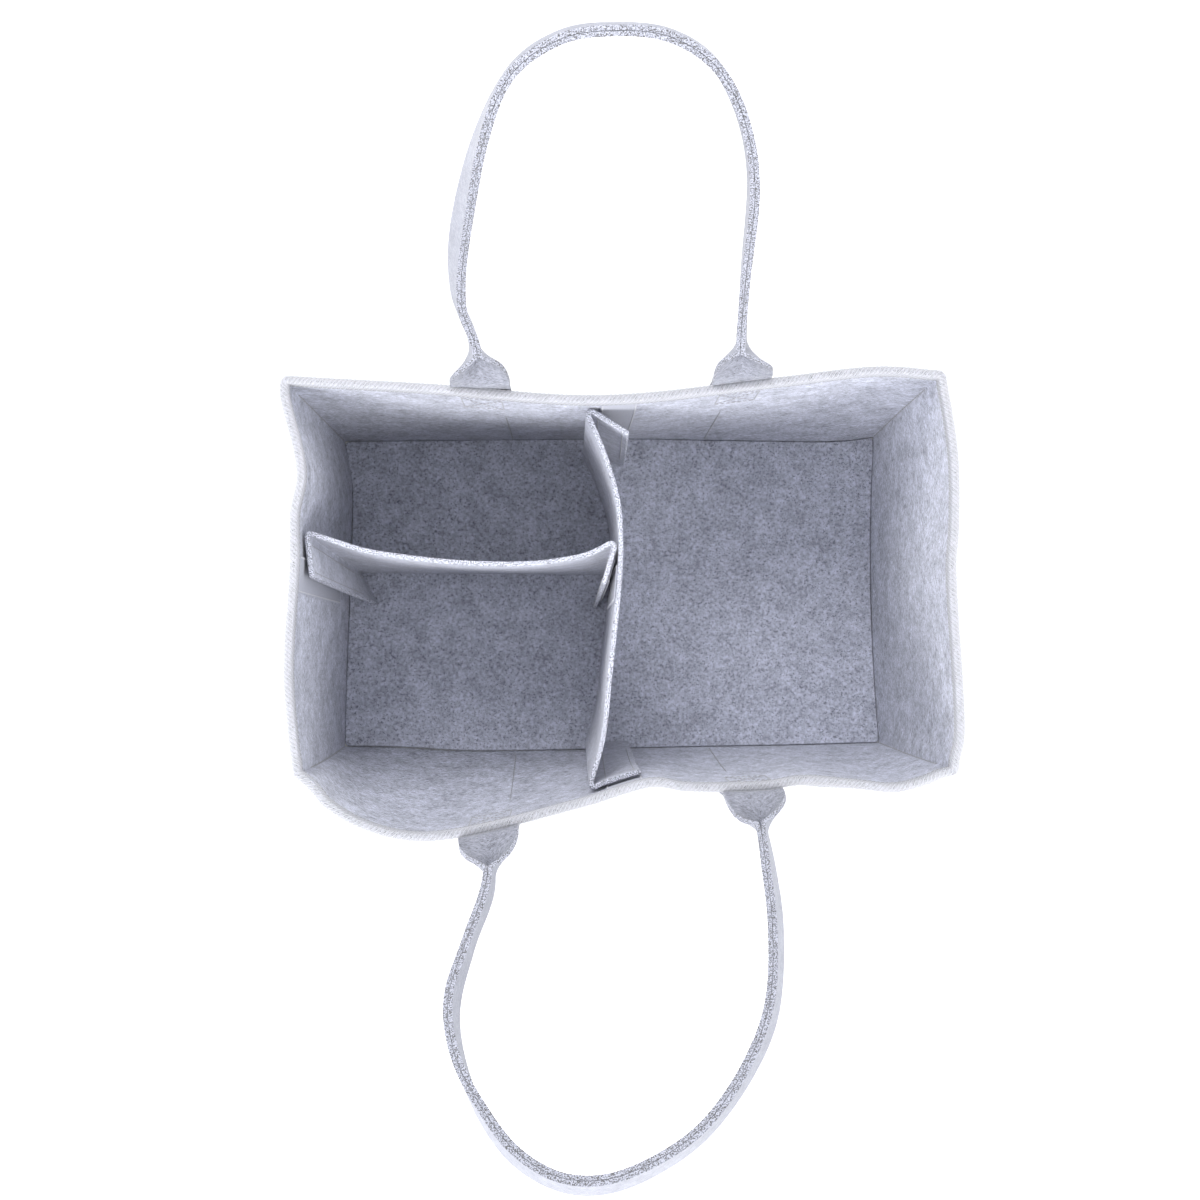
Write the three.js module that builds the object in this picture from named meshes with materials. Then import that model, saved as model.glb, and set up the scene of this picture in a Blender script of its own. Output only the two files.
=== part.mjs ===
// Felt diaper caddy: an open box of thick felt with an overlocked rim, three flat
// pockets on each long side, two folded felt handles, and two dividers held by touch tape.
// X runs along the box, Y from front to back, Z up; the origin is the middle of the base.
import * as THREE from 'three';

// The box, in millimetres, outside at the base
const LENGTH = 350;
const WIDTH = 210;
const HEIGHT = 175;
const FELT = 3.5;
const CLEAR = 0.3;
const BASE_EASE = 0.8;
const CORNER = 5;
const EDGE_MARGIN = 12;

// How far each wall's rim stands out from the base line: [share along the wall, distance]
const RIM_SWELL = {
  back: [[-1, 3], [-0.6, -1.6], [-0.05, -8.9], [0.5, 0], [0.8, 5.4], [1, 3]],
  front: [[-1, 0], [-0.8, 25], [-0.57, 33], [-0.13, 17], [0.1, 6.5], [0.3, 9.5], [0.82, 8.9], [1, 3]],
  left: [[-1, -4], [-0.45, 2], [0.1, -1], [0.55, -4.8], [0.93, 4], [1, 4]],
  right: [[-1, 2], [-0.75, 6.9], [0, 4.6], [0.7, 6.5], [1, 2]],
};

// Overlock stitching: it wraps an edge, squeezes the felt there and stands a little proud
const OVERLOCK_DROP = 5;
const OVERLOCK_BITE = 0.9;
const OVERLOCK_PROUD = 0.3;
const OVERLOCK_ROUND = 0.66;
const SEAM_THICK = 1;
const SEAM_BAND = 6;
const SEAM_FOOT = 0.6;
const SEAM_STAND = 0.8;

// Pockets: one panel on each long wall, sewn down between the pockets
const POCKET_DROP = 60;
const POCKET_HEIGHT = HEIGHT - POCKET_DROP;
const POCKET_FELT = 2.5;
const POCKET_SEAM = 62;
const POCKET_EASE = 3.3;
const POCKET_STAND = 0.5;
const HEM_DROP = 4;
const HEM_BITE = 0.5;

// Handles: a felt strip, sewn flat to the wall at its ends and folded in half between them
const STRIP_WIDTH = 32;
const HANDLE_FELT = 2.3;
const FOLD_SLIT = 0.35;
const FOLD_RUN = 22;
const TAB_SPACING = 140;
const TAB_LENGTH = 45;
const TAB_ROUND = 6;
const TAB_SLOPE = 2.6;
const HINGE_RISE = 2;
const TACK_WIDTH = 22;
const TACK_HEIGHT = 26;
const TACK_THREAD = 1.2;
const TACK_THICK = 0.6;

// Each loop's route in its own plane: [along the hinge, away from it], and how the folded
// strip rolls about its own run: [share of the run, degrees]
const HANDLES = {
  back: {
    middle: -3,
    tilt: 50,
    route: [[-73, 34], [-79, 58], [-77, 94], [-64, 139], [-45, 174.5], [-23, 190], [0, 193],
      [24, 190], [44, 177], [58.5, 151], [66, 118], [66.7, 70], [68, 30]],
    roll: [[0, 4], [0.06, 12], [0.13, 16], [0.2, 23], [0.26, 19], [0.33, 4], [0.4, -13], [0.52, -21],
      [0.62, -11], [0.72, -2], [0.85, 6], [0.95, 9], [1, 0]],
  },
  front: {
    middle: -1,
    tilt: 34,
    route: [[-72.5, 32], [-84.5, 61], [-93, 95], [-88.5, 131], [-76, 161], [-57, 179], [-35, 184.8],
      [-10, 179.8], [15, 167.2], [39.5, 144], [57, 117], [67.7, 78], [71, 43]],
    roll: [[0, 0], [0.08, 8], [0.2, 13], [0.27, 8], [0.34, -6], [0.45, -2], [0.6, 0], [0.75, -12],
      [0.88, -20], [0.96, -8], [1, 0]],
  },
};

// Dividers and the touch tape that holds them
const DIVIDER_TOP = 160;
const DIVIDER_FELT = 2.7;
const FLAP = 25;
const FOLD_ROUND = 1.9;
const FOLD_EASE = 0.5;
const TAPE = 0.8;
const TAPE_LOW = 40;
const TAPE_HIGH = 157;
const WALL_TAPE_HIGH = 166;
const TAPE_WIDTH = 20;
const TAPE_GAP = 0.3;
const HOOK_START = 6;
const HOOK_STOP = 2;
const CROSS_AT = -14.5;
const BACK_FLAP = 28.5;
const BACK_FLAP_ANGLE = { low: 16, high: 33 };
const BACK_TUCK = { low: -0.4, high: 1.7 };
const FRONT_TUCK = 2;
const SHORT_LEFT = { low: 16, high: 26.5 };
const SHORT_LEFT_SWAY = { low: 4, high: 0 };
const SHORT_RIGHT = { low: 13, high: 20.5 };
const SHORT_TAPE_AT = -1;
const DIVIDER_TAPE_AT = -3;
const BACK_HOOK_START = 8.5;
const RIGHT_HOOK_START = 10;
const LEFT_FLAP_AWAY = { low: 12.5, high: 2.5 };
const RIGHT_FLAP_AWAY = { low: 9.5, high: 7.2 };

// How the two dividers bow, from one end fold to the other: [share of the run, bow]
const CROSS_BOW = [[0, -3], [0.123, 7.3], [0.251, 14.6], [0.36, 16], [0.463, 15], [0.576, 12.5],
  [0.724, 8.8], [0.872, 5.1], [1, -2.3]];
const SHORT_BOW = [[0, 0], [0.09, 4.6], [0.18, 9], [0.27, 11.4], [0.45, 14.2], [0.6, 14.9],
  [0.73, 14], [0.82, 11.8], [0.91, 8.1], [1, 0]];

// Colours
const felt = () => new THREE.MeshStandardMaterial({ color: 0xb9bac6, roughness: 0.95 });
const floorFelt = () => new THREE.MeshStandardMaterial({ color: 0x9c9da9, roughness: 0.95 });
const thread = () => new THREE.MeshStandardMaterial({ color: 0xd5d6dc, roughness: 0.7 });
const tape = () => new THREE.MeshStandardMaterial({ color: 0xc9cad6, roughness: 0.9 });

const { lerp, clamp, degToRad } = THREE.MathUtils;
const caddy = new THREE.Group();

function add(name, geometry, material) {
  const mesh = new THREE.Mesh(geometry, material);
  mesh.name = name;
  caddy.add(mesh);
}

// Rings of points joined into one closed solid; `cap` holds the triangles that close a ring
function loft(rings, cap) {
  const size = rings[0].length;
  const points = rings.flat();
  const triangles = [];
  const spans = cap ? rings.length - 1 : rings.length;
  for (let i = 0; i < spans; i += 1) {
    const here = i * size;
    const next = ((i + 1) % rings.length) * size;
    for (let j = 0; j < size; j += 1) {
      const k = (j + 1) % size;
      triangles.push([here + j, next + j, next + k], [here + j, next + k, here + k]);
    }
  }
  for (const [a, b, c] of cap ?? []) {
    const last = (rings.length - 1) * size;
    triangles.push([a, b, c], [last + a, last + c, last + b]);
  }
  const volume = triangles.reduce((sum, [a, b, c]) =>
    sum + points[a].dot(new THREE.Vector3().crossVectors(points[b], points[c])), 0);
  const outward = volume < 0 ? triangles.map(([a, b, c]) => [a, c, b]) : triangles;
  const geometry = new THREE.BufferGeometry().setFromPoints(points);
  geometry.setIndex(outward.flat());
  geometry.computeVertexNormals();
  return geometry;
}

// A sheet with two faces: columns of points on one face, and the same columns on the other
function slab(face, back) {
  const rows = face[0].length;
  const rings = face.map((column, i) => [...column, ...back[i].slice().reverse()]);
  const cap = [];
  for (let j = 0; j < rows - 1; j += 1) {
    const across = 2 * rows - 1 - j;
    cap.push([j, j + 1, across], [j + 1, across - 1, across]);
  }
  return loft(rings, cap);
}

function steps(low, high, count) {
  return Array.from({ length: count + 1 }, (_, i) => lerp(low, high, i / count));
}

// A smooth line through [place, value] points
function wave(points, place) {
  const last = points.length - 1;
  const slope = (i) => {
    const [before, after] = [points[Math.max(i - 1, 0)], points[Math.min(i + 1, last)]];
    return (after[1] - before[1]) / (after[0] - before[0]);
  };
  const found = points.findIndex(([at]) => at >= place);
  const i = clamp(found < 0 ? last - 1 : found - 1, 0, last - 1);
  const [[x0, y0], [x1, y1]] = [points[i], points[i + 1]];
  const span = x1 - x0;
  const t = clamp((place - x0) / span, 0, 1);
  const [t2, t3] = [t * t, t * t * t];
  return (2 * t3 - 3 * t2 + 1) * y0 + (t3 - 2 * t2 + t) * span * slope(i)
    + (3 * t2 - 2 * t3) * y1 + (t3 - t2) * span * slope(i + 1);
}

// Walls
const side = (along, out, half, across, near, far, place, swell) =>
  ({ along, out, half, across, near, far, place, swell });
const EAST = new THREE.Vector2(1, 0);
const NORTH = new THREE.Vector2(0, 1);
const WALLS = {
  back: side(EAST, NORTH, LENGTH / 2, WIDTH / 2, 'left', 'right', 1, RIM_SWELL.back),
  front: side(EAST, NORTH.clone().negate(), LENGTH / 2, WIDTH / 2, 'left', 'right', -1, RIM_SWELL.front),
  left: side(NORTH, EAST.clone().negate(), WIDTH / 2, LENGTH / 2, 'front', 'back', -1, RIM_SWELL.left),
  right: side(NORTH, EAST, WIDTH / 2, LENGTH / 2, 'front', 'back', 1, RIM_SWELL.right),
};
const LONG_COLUMNS = 23;
const SHORT_COLUMNS = 10;

// The walls rise straight off the base and reach their rim line without a kink
const lean = (z) => Math.sin((Math.PI / 2) * Math.min(z / HEIGHT, 1));
const depth = (wall, a, z) => wall.across + lean(z) * wave(wall.swell, clamp(a / wall.half, -1, 1));
const reach = (wall, neighbour, z) => wall.half + lean(z) * wave(WALLS[neighbour].swell, wall.place);
const onWall = (wall, a, b, z) => new THREE.Vector3(
  wall.along.x * a + wall.out.x * b, wall.along.y * a + wall.out.y * b, z);

// Columns that stand at fixed places along a wall, clear of its corners
const columnsOf = (wall) => steps(EDGE_MARGIN - wall.half, wall.half - EDGE_MARGIN,
  wall.half > WALLS.left.half ? LONG_COLUMNS : SHORT_COLUMNS);

// The wall's plan line at one height, `inset` in from its outside, with rounded-off corners
function planLine(wall, z, inset, shorten = 0) {
  const cut = Math.max(0, (CORNER / 2) * (1 - inset / FELT));
  const start = -reach(wall, wall.near, z);
  const stop = reach(wall, wall.far, z);
  const run = [start + CORNER, ...columnsOf(wall), stop - CORNER].map((a) => [a, depth(wall, a, z) - inset]);
  const tip = (a, share, [nextA, nextB]) => {
    const b = depth(wall, share * wall.half, z) - inset - cut;
    const pull = shorten / Math.abs(nextA - a);
    return [lerp(a, nextA, pull), lerp(b, nextB, pull)];
  };
  return [tip(start + inset + cut, -1, run[0]), ...run, tip(stop - inset - cut, 1, run.at(-1))];
}

const WALL_TOP = HEIGHT - OVERLOCK_BITE - OVERLOCK_PROUD;
const BAND_FOOT = HEIGHT - OVERLOCK_DROP;
const SEAM_TOP = SEAM_FOOT + SEAM_BAND;
const POCKET_BAND = POCKET_HEIGHT - HEM_DROP;
const WALL_LEVELS = [...steps(SEAM_TOP, POCKET_BAND, 4), ...steps(POCKET_HEIGHT, BAND_FOOT, 2)];
const WALL_ROWS = [...[0, ...WALL_LEVELS].map((z) => [z, 0]),
  [BAND_FOOT, OVERLOCK_BITE], [WALL_TOP, OVERLOCK_BITE]];

function wallPanel(wall) {
  const face = (insetAt) => {
    const lines = WALL_ROWS.map(([z, bite]) => planLine(wall, z, insetAt(bite), CLEAR)
      .map(([a, b]) => onWall(wall, a, b, z)));
    return lines[0].map((_, i) => lines.map((line) => line[i]));
  };
  return slab(face((bite) => bite), face((bite) => FELT - bite));
}
for (const [name, wall] of Object.entries(WALLS)) {
  add(`${name}_wall`, wallPanel(wall), felt());
}

// Base panel: a flat sheet inside the feet of the walls
function basePanel() {
  const halfLength = LENGTH / 2 - FELT - BASE_EASE;
  const halfWidth = WIDTH / 2 - FELT - BASE_EASE;
  const outline = new THREE.Shape();
  outline.moveTo(halfLength - CORNER, -halfWidth);
  outline.absarc(halfLength - CORNER, halfWidth - CORNER, CORNER, 0, Math.PI / 2);
  outline.absarc(CORNER - halfLength, halfWidth - CORNER, CORNER, Math.PI / 2, Math.PI);
  outline.absarc(CORNER - halfLength, CORNER - halfWidth, CORNER, Math.PI, 1.5 * Math.PI);
  outline.absarc(halfLength - CORNER, CORNER - halfWidth, CORNER, 1.5 * Math.PI, 2 * Math.PI);
  outline.closePath();
  return new THREE.ExtrudeGeometry(outline, { depth: FELT, bevelEnabled: false, curveSegments: 4 });
}
add('base_panel', basePanel(), floorFelt());

// Rings that run right round the box: a section of [outset, height] points swept past each wall
const ROUND_TRIP = [['back', false], ['right', true], ['front', true], ['left', false]];

function roundBox(section) {
  const rings = [];
  for (const [name, reversed] of ROUND_TRIP) {
    const wall = WALLS[name];
    const lines = section.map(([outset, z]) =>
      planLine(wall, z, -outset).map(([a, b]) => onWall(wall, a, b, z)));
    const columns = lines[0].map((_, i) => lines.map((line) => line[i]));
    rings.push(...(reversed ? columns.reverse() : columns).slice(0, -1));
  }
  return loft(rings);
}

// An overlocked edge in section: a channel of thread folded over the top of the felt
function channel(thick, bite, foot, top) {
  const outside = OVERLOCK_PROUD;
  const inside = -thick - OVERLOCK_PROUD;
  const roof = top - bite - OVERLOCK_PROUD + CLEAR;
  const round = OVERLOCK_ROUND * (bite + OVERLOCK_PROUD);
  return [
    [outside, foot + CLEAR], [outside, top - round], [outside - round, top],
    [inside + round, top], [inside, top - round], [inside, foot + CLEAR],
    [-thick + bite - CLEAR, foot + CLEAR], [-thick + bite - CLEAR, roof],
    [-bite + CLEAR, roof], [-bite + CLEAR, foot + CLEAR],
  ];
}
add('rim_overlock', roundBox(channel(FELT, OVERLOCK_BITE, BAND_FOOT, HEIGHT)), thread());

add('base_seam', roundBox([
  [CLEAR, SEAM_FOOT], [CLEAR + SEAM_THICK, SEAM_FOOT],
  [CLEAR + SEAM_THICK, SEAM_TOP], [CLEAR, SEAM_TOP],
]), thread());

// Corner seams: a band of thread folded round each upright edge
function cornerSeam(first, second, atFar) {
  const levels = [SEAM_TOP + CLEAR, ...WALL_LEVELS.slice(1, -1), BAND_FOOT - CLEAR];
  const leg = (wall, far, z, inset) => {
    const line = planLine(wall, z, inset);
    const [tip, bend, next] = far ? line.reverse() : line;
    const share = SEAM_BAND / 2 / Math.abs(next[0] - bend[0]);
    const away = [lerp(bend[0], next[0], share), lerp(bend[1], next[1], share)];
    return [away, bend, tip].map(([a, b]) => onWall(wall, a, b, z));
  };
  const face = (inset) => {
    const rows = levels.map((z) => {
      const one = leg(WALLS[first], atFar[0], z, inset);
      const two = leg(WALLS[second], atFar[1], z, inset);
      return [...one, ...two.reverse().slice(1)];
    });
    return rows[0].map((_, i) => rows.map((row) => row[i]));
  };
  return slab(face(-SEAM_STAND), face(-SEAM_STAND - SEAM_THICK));
}
for (const long of ['back', 'front']) {
  for (const short of ['left', 'right']) {
    const seam = cornerSeam(long, short, [short === 'right', long === 'back']);
    add(`${long}_${short}_corner_seam`, seam, thread());
  }
}

// A patch that lies along a wall: `near` and `far` are insets from the wall's outside
function patch(wall, from, to, rows, near, far, columns = 4) {
  const face = (inset) => steps(from, to, columns).map((a) =>
    rows.map((z) => onWall(wall, a, depth(wall, a, z) - inset(a, z), z)));
  return slab(face(far), face(near));
}

// Pockets
const POCKET_HALF = LENGTH / 2 - EDGE_MARGIN;
const POCKET_FOOT = SEAM_TOP + CLEAR;
const POCKET_LIP = POCKET_HEIGHT - HEM_BITE - OVERLOCK_PROUD;

// How far a pocket stands off the wall: nothing at its seams and foot, most at its mouth
function pocketGap(a, z) {
  const seams = [-POCKET_HALF, -POCKET_SEAM, POCKET_SEAM, POCKET_HALF];
  const i = clamp(seams.findIndex((seam) => seam >= a) - 1, 0, 2);
  const across = Math.sin(Math.PI * clamp((a - seams[i]) / (seams[i + 1] - seams[i]), 0, 1));
  const up = Math.sin((Math.PI / 2) * clamp((z - POCKET_FOOT) / (POCKET_HEIGHT - POCKET_FOOT), 0, 1));
  return POCKET_STAND + POCKET_EASE * across * up;
}

function pocketPanel(wall) {
  const rows = [POCKET_FOOT, ...steps(SEAM_TOP, POCKET_BAND, 4).slice(1)].map((z) => [z, 0]);
  rows.push(
    [POCKET_BAND, HEM_BITE], [POCKET_LIP, HEM_BITE]);
  const face = (outset) => columnsOf(wall).map((a) =>
    rows.map(([z, bite]) => onWall(wall, a, depth(wall, a, z) + pocketGap(a, z) + outset(bite), z)));
  return slab(face((bite) => bite), face((bite) => POCKET_FELT - bite));
}

function pocketHem(wall) {
  const section = channel(POCKET_FELT, HEM_BITE, POCKET_BAND, POCKET_HEIGHT);
  const rings = columnsOf(wall).map((a) => section.map(([outset, z]) =>
    onWall(wall, a, depth(wall, a, z) + pocketGap(a, z) + POCKET_FELT + outset, z)));
  return loft(rings, capOf(section));
}

function capOf(section) {
  const outline = section.map(([x, y]) => new THREE.Vector2(x, y));
  const turn = THREE.ShapeUtils.isClockWise(outline) ? -1 : 1;
  return THREE.ShapeUtils.triangulateShape(outline, []).map(([a, b, c]) =>
    (turn > 0 ? [a, b, c] : [a, c, b]));
}
for (const name of ['back', 'front']) {
  add(`${name}_pocket_panel`, pocketPanel(WALLS[name]), felt());
  add(`${name}_pocket_hem`, pocketHem(WALLS[name]), thread());
}

// Handles: the line that a loop swings on runs past both tabs, just outside the rim
const TAB_TOP = HEIGHT + HINGE_RISE - HANDLE_FELT / 2 - CLEAR;

function hinge(name) {
  const wall = WALLS[name];
  const { middle } = HANDLES[name];
  const ends = [middle - TAB_SPACING / 2, middle + TAB_SPACING / 2];
  const up = new THREE.Vector3(0, 0, 1);
  const onRim = (a) => onWall(wall, a, depth(wall, a, HEIGHT), 0);
  // A tab lies flat, so it stands off as far as the wall bulges out behind it
  const standoff = (a, out) => OVERLOCK_PROUD + CLEAR + Math.max(
    ...steps(-STRIP_WIDTH / 2, STRIP_WIDTH / 2, 8).map((step) => onRim(a + step).sub(onRim(a)).dot(out)));
  const lineThrough = (one, two) => {
    const axis = two.clone().sub(one).normalize();
    const out = new THREE.Vector3().crossVectors(axis, up).multiplyScalar(name === 'back' ? -1 : 1);
    return { axis, out };
  };
  const first = lineThrough(...ends.map(onRim));
  const { axis, out } = lineThrough(...ends.map((a) =>
    onRim(a).addScaledVector(first.out, standoff(a, first.out))));
  const seat = (a, z) => onWall(wall, a, depth(wall, a, z), z).addScaledVector(out, standoff(a, out));
  return { axis, out, up, ends, seat };
}

// A tab's upright line: [height, inset of its inner face, inset of its outer face]. Its top is
// cut on a slope, so that the loop can fold down past it
const TAB_FOOT = TAB_TOP - TAB_LENGTH;
const TAB_ROWS = [
  ...steps(TAB_FOOT, TAB_TOP - TAB_SLOPE, 6).map((z) => [z, 0, 0]),
  [TAB_TOP - CLEAR, 0, 0.64 * HANDLE_FELT],
  [TAB_TOP, 0.1 * HANDLE_FELT, 0.74 * HANDLE_FELT],
];

function handleTab({ axis, out, seat }, a) {
  const halfAt = (z) => {
    const drop = TAB_ROUND - Math.min(z - TAB_FOOT, TAB_ROUND);
    return STRIP_WIDTH / 2 - TAB_ROUND + Math.sqrt(TAB_ROUND ** 2 - drop ** 2 * 0.9);
  };
  const face = (outset) => steps(-1, 1, 4).map((share) => TAB_ROWS.map(([z, inner, outer]) =>
    seat(a, z).addScaledVector(axis, share * halfAt(z)).addScaledVector(out, outset(inner, outer))));
  return slab(face((inner, outer) => HANDLE_FELT - outer), face((inner) => inner));
}

// Tack stitching on a tab: a frame of thread with a cross in it
function handleTack({ out, up, seat }, a) {
  const across = new THREE.Vector3().crossVectors(up, out);
  const [halfWidth, halfHeight] = [TACK_WIDTH / 2, TACK_HEIGHT / 2];
  const outline = new THREE.Shape();
  outline.moveTo(-halfWidth, -halfHeight);
  outline.lineTo(halfWidth, -halfHeight);
  outline.lineTo(halfWidth, halfHeight);
  outline.lineTo(-halfWidth, halfHeight);
  outline.closePath();
  const [w, h] = [halfWidth - TACK_THREAD, halfHeight - TACK_THREAD];
  const skew = TACK_THREAD * Math.hypot(w, h) / 2;
  const triangle = (corners) => outline.holes.push(
    new THREE.Path(corners.map(([x, y]) => new THREE.Vector2(x, y))));
  triangle([[-w + skew / h, h], [w - skew / h, h], [0, skew / w]]);
  triangle([[-w + skew / h, -h], [0, -skew / w], [w - skew / h, -h]]);
  triangle([[-w, h - skew / w], [-skew / h, 0], [-w, -h + skew / w]]);
  triangle([[w, h - skew / w], [w, -h + skew / w], [skew / h, 0]]);
  const geometry = new THREE.ExtrudeGeometry(outline, { depth: TACK_THICK, bevelEnabled: false });
  const middle = (TAB_FOOT + HEIGHT - OVERLOCK_DROP) / 2;
  const places = geometry.attributes.position;
  for (let i = 0; i < places.count; i += 1) {
    const z = middle + places.getY(i);
    const point = seat(a, z).addScaledVector(across, places.getX(i))
      .addScaledVector(out, HANDLE_FELT + CLEAR + places.getZ(i));
    places.setXYZ(i, point.x, point.y, point.z);
  }
  geometry.computeVertexNormals();
  return geometry;
}

// The strip in section, folded by `turn` about its middle: [across, towards the cut edges]
function foldedSection(turn, thick) {
  const radius = (HANDLE_FELT + FOLD_SLIT) / 2;
  const half = (offset) => {
    const arc = steps(0, turn, 2).slice(1).map((angle) => [
      (radius - offset) * Math.sin(angle), radius - (radius - offset) * Math.cos(angle)]);
    const rest = STRIP_WIDTH / 2 - radius * turn;
    const [x, y] = arc.at(-1);
    return [...arc, [x + rest * Math.cos(turn), y + rest * Math.sin(turn)]];
  };
  const line = (offset) => {
    const right = half(offset);
    return [...right.map(([x, y]) => [-x, y]).reverse(), [0, offset], ...right];
  };
  return [...line(-thick / 2), ...line(thick / 2).reverse()];
}

function handleLoop(name, { axis, out, up, ends, seat }) {
  const { route, roll, tilt } = HANDLES[name];
  const rise = degToRad(tilt);
  const away = out.clone().multiplyScalar(Math.cos(rise)).addScaledVector(up, Math.sin(rise));
  const inside = out.clone().multiplyScalar(-Math.sin(rise)).addScaledVector(up, Math.cos(rise));
  const roots = ends.map((a) => seat(a, HEIGHT + HINGE_RISE).addScaledVector(out, HANDLE_FELT / 2));
  const centre = roots[0].clone().lerp(roots[1], 0.5);
  const halfSpan = roots[0].distanceTo(roots[1]) / 2;
  const place = (a, p) => centre.clone().addScaledVector(axis, a).addScaledVector(away, p);
  const straight = [3, 9];
  const curve = new THREE.CatmullRomCurve3([
    ...straight.map((p) => place(-halfSpan, p)),
    ...route.map(([a, p]) => place(a, p)),
    ...straight.toReversed().map((p) => place(halfSpan, p)),
  ]);
  const length = curve.getLength();
  const fold = (run) => {
    const share = clamp(Math.min(run, length - run) / FOLD_RUN, 0, 1);
    return Math.max(0.02, (Math.PI / 2) * (share * share * (3 - 2 * share)));
  };
  const ring = (point, tangent, rollAngle, turn, thick) => {
    const across = new THREE.Vector3().crossVectors(tangent, inside).normalize();
    const edge = inside.clone().applyAxisAngle(tangent, rollAngle);
    const sideways = across.applyAxisAngle(tangent, rollAngle);
    return foldedSection(turn, thick).map(([x, y]) =>
      point.clone().addScaledVector(sideways, x).addScaledVector(edge, y));
  };
  const near = [0, 1.5, 4, 7, 10, 13, 16, 19, 22, 25];
  const middle = steps(32, length - 32, 28);
  const rings = [...near, ...middle, ...near.map((run) => length - run).reverse()].map((run) => {
    const share = run / length;
    const turned = degToRad(wave(roll, share));
    return ring(curve.getPointAt(share), curve.getTangentAt(share), turned, fold(run), HANDLE_FELT);
  });
  const rounded = (a, direction) => [0, 45, 75].map((angle) => {
    const back = (HANDLE_FELT / 2) * Math.sin(degToRad(angle));
    const thick = HANDLE_FELT * Math.cos(degToRad(angle));
    return ring(place(a, -back), away.clone().multiplyScalar(direction), 0, fold(0), thick);
  });
  const all = [...rounded(-halfSpan, 1).reverse(), ...rings, ...rounded(halfSpan, -1)];
  return loft(all, capOf(foldedSection(fold(0), HANDLE_FELT)));
}

for (const name of ['back', 'front']) {
  const line = hinge(name);
  line.ends.forEach((a, i) => {
    const which = `${name}_${i === 0 ? 'left' : 'right'}_handle`;
    add(`${which}_tab`, handleTab(line, a), felt());
    add(`${which}_tack`, handleTack(line, a), thread());
  });
  add(`${name}_handle`, handleLoop(name, line), felt());
}

// Dividers: a sheet that stands on its plan line, which may change with height
const DIVIDER_FOOT = FELT + CLEAR;
const TAPE_ROWS = steps(TAPE_LOW, TAPE_HIGH, 3);
const DIVIDER_ROWS = [DIVIDER_FOOT, ...TAPE_ROWS, DIVIDER_TOP];
const point2 = (x, y) => new THREE.Vector2(x, y);
const between = (pair, z) => lerp(pair.low, pair.high, (z - DIVIDER_FOOT) / (DIVIDER_TOP - DIVIDER_FOOT));

function offsetLine(line, distance) {
  return line.map((point, i) => {
    const into = point.clone().sub(line[Math.max(i - 1, 0)]);
    const onward = line[Math.min(i + 1, line.length - 1)].clone().sub(point);
    const first = (into.length() ? into : onward).clone().normalize();
    const second = (onward.length() ? onward : into).clone().normalize();
    const mean = first.clone().add(second).normalize();
    const stretch = 1 / mean.dot(first);
    return point.clone().addScaledVector(point2(-mean.y, mean.x), distance * stretch);
  });
}

function standing(lineAt, rows, first, second) {
  const face = (distance) => {
    const lines = rows.map((z) => offsetLine(lineAt(z), distance).map((p) => new THREE.Vector3(p.x, p.y, z)));
    return lines[0].map((_, i) => lines.map((line) => line[i]));
  };
  return slab(face(first), face(second));
}

// The rounded fold between a flap and its divider
function fold(before, corner, after) {
  const [back, ahead] = [before, after].map((end) => end.clone().sub(corner).normalize());
  const half = Math.acos(clamp(back.dot(ahead), -1, 1)) / 2;
  const middle = back.clone().add(ahead).setLength(FOLD_ROUND / Math.sin(half)).add(corner);
  const start = back.clone().setLength(FOLD_ROUND / Math.tan(half)).add(corner);
  const turn = -Math.sign(back.cross(ahead)) * (Math.PI - 2 * half);
  return steps(0, turn, 4).map((angle) => start.clone().rotateAround(middle, angle));
}

const clearInside = (wall, a) => Math.min(depth(wall, a, 0), depth(wall, a, HEIGHT)) - FELT - OVERLOCK_PROUD
  - CLEAR;
const TAPE_STACK = 2 * (CLEAR + TAPE) + TAPE_GAP + DIVIDER_FELT / 2;
const CROSS_BACK = clearInside(WALLS.back, CROSS_AT) + BACK_TUCK.high;
const crossFront = (a, z) => -(depth(WALLS.front, a, z) - FELT) + TAPE_STACK;
const crossX = (y, z) => {
  const share = (CROSS_BACK - y) / (CROSS_BACK - crossFront(CROSS_AT, z));
  return CROSS_AT + wave(CROSS_BOW, clamp(share, 0, 1));
};
const crossBackFold = (z) => point2(
  crossX(CROSS_BACK, z), CROSS_BACK - BACK_TUCK.high + between(BACK_TUCK, z));
const crossBackFree = (z) => {
  const angle = degToRad(between(BACK_FLAP_ANGLE, z));
  return crossBackFold(z).add(point2(BACK_FLAP * Math.cos(angle), -BACK_FLAP * Math.sin(angle)));
};
const crossFrontFold = (z) => {
  const y = crossFront(CROSS_AT, z) - FRONT_TUCK;
  return point2(crossX(y, z), y);
};
const crossFrontFlap = (z) => steps(CROSS_AT + 4, CROSS_AT + FLAP, 3).map((a) => point2(a, crossFront(a, z)));

function crossLine(z) {
  const [backFold, frontFold] = [crossBackFold(z), crossFrontFold(z)];
  const flap = crossFrontFlap(z);
  const ys = steps(CROSS_BACK, frontFold.y, 14).slice(1, -1);
  const run = ys.map((y) => point2(crossX(y, z), y));
  return [
    crossBackFree(z), ...fold(crossBackFree(z), backFold, run[0]), ...run,
    ...fold(run.at(-1), frontFold, flap[0]), ...flap,
  ];
}
add('cross_divider', standing(crossLine, DIVIDER_ROWS, DIVIDER_FELT / 2, -DIVIDER_FELT / 2), felt());

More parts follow.
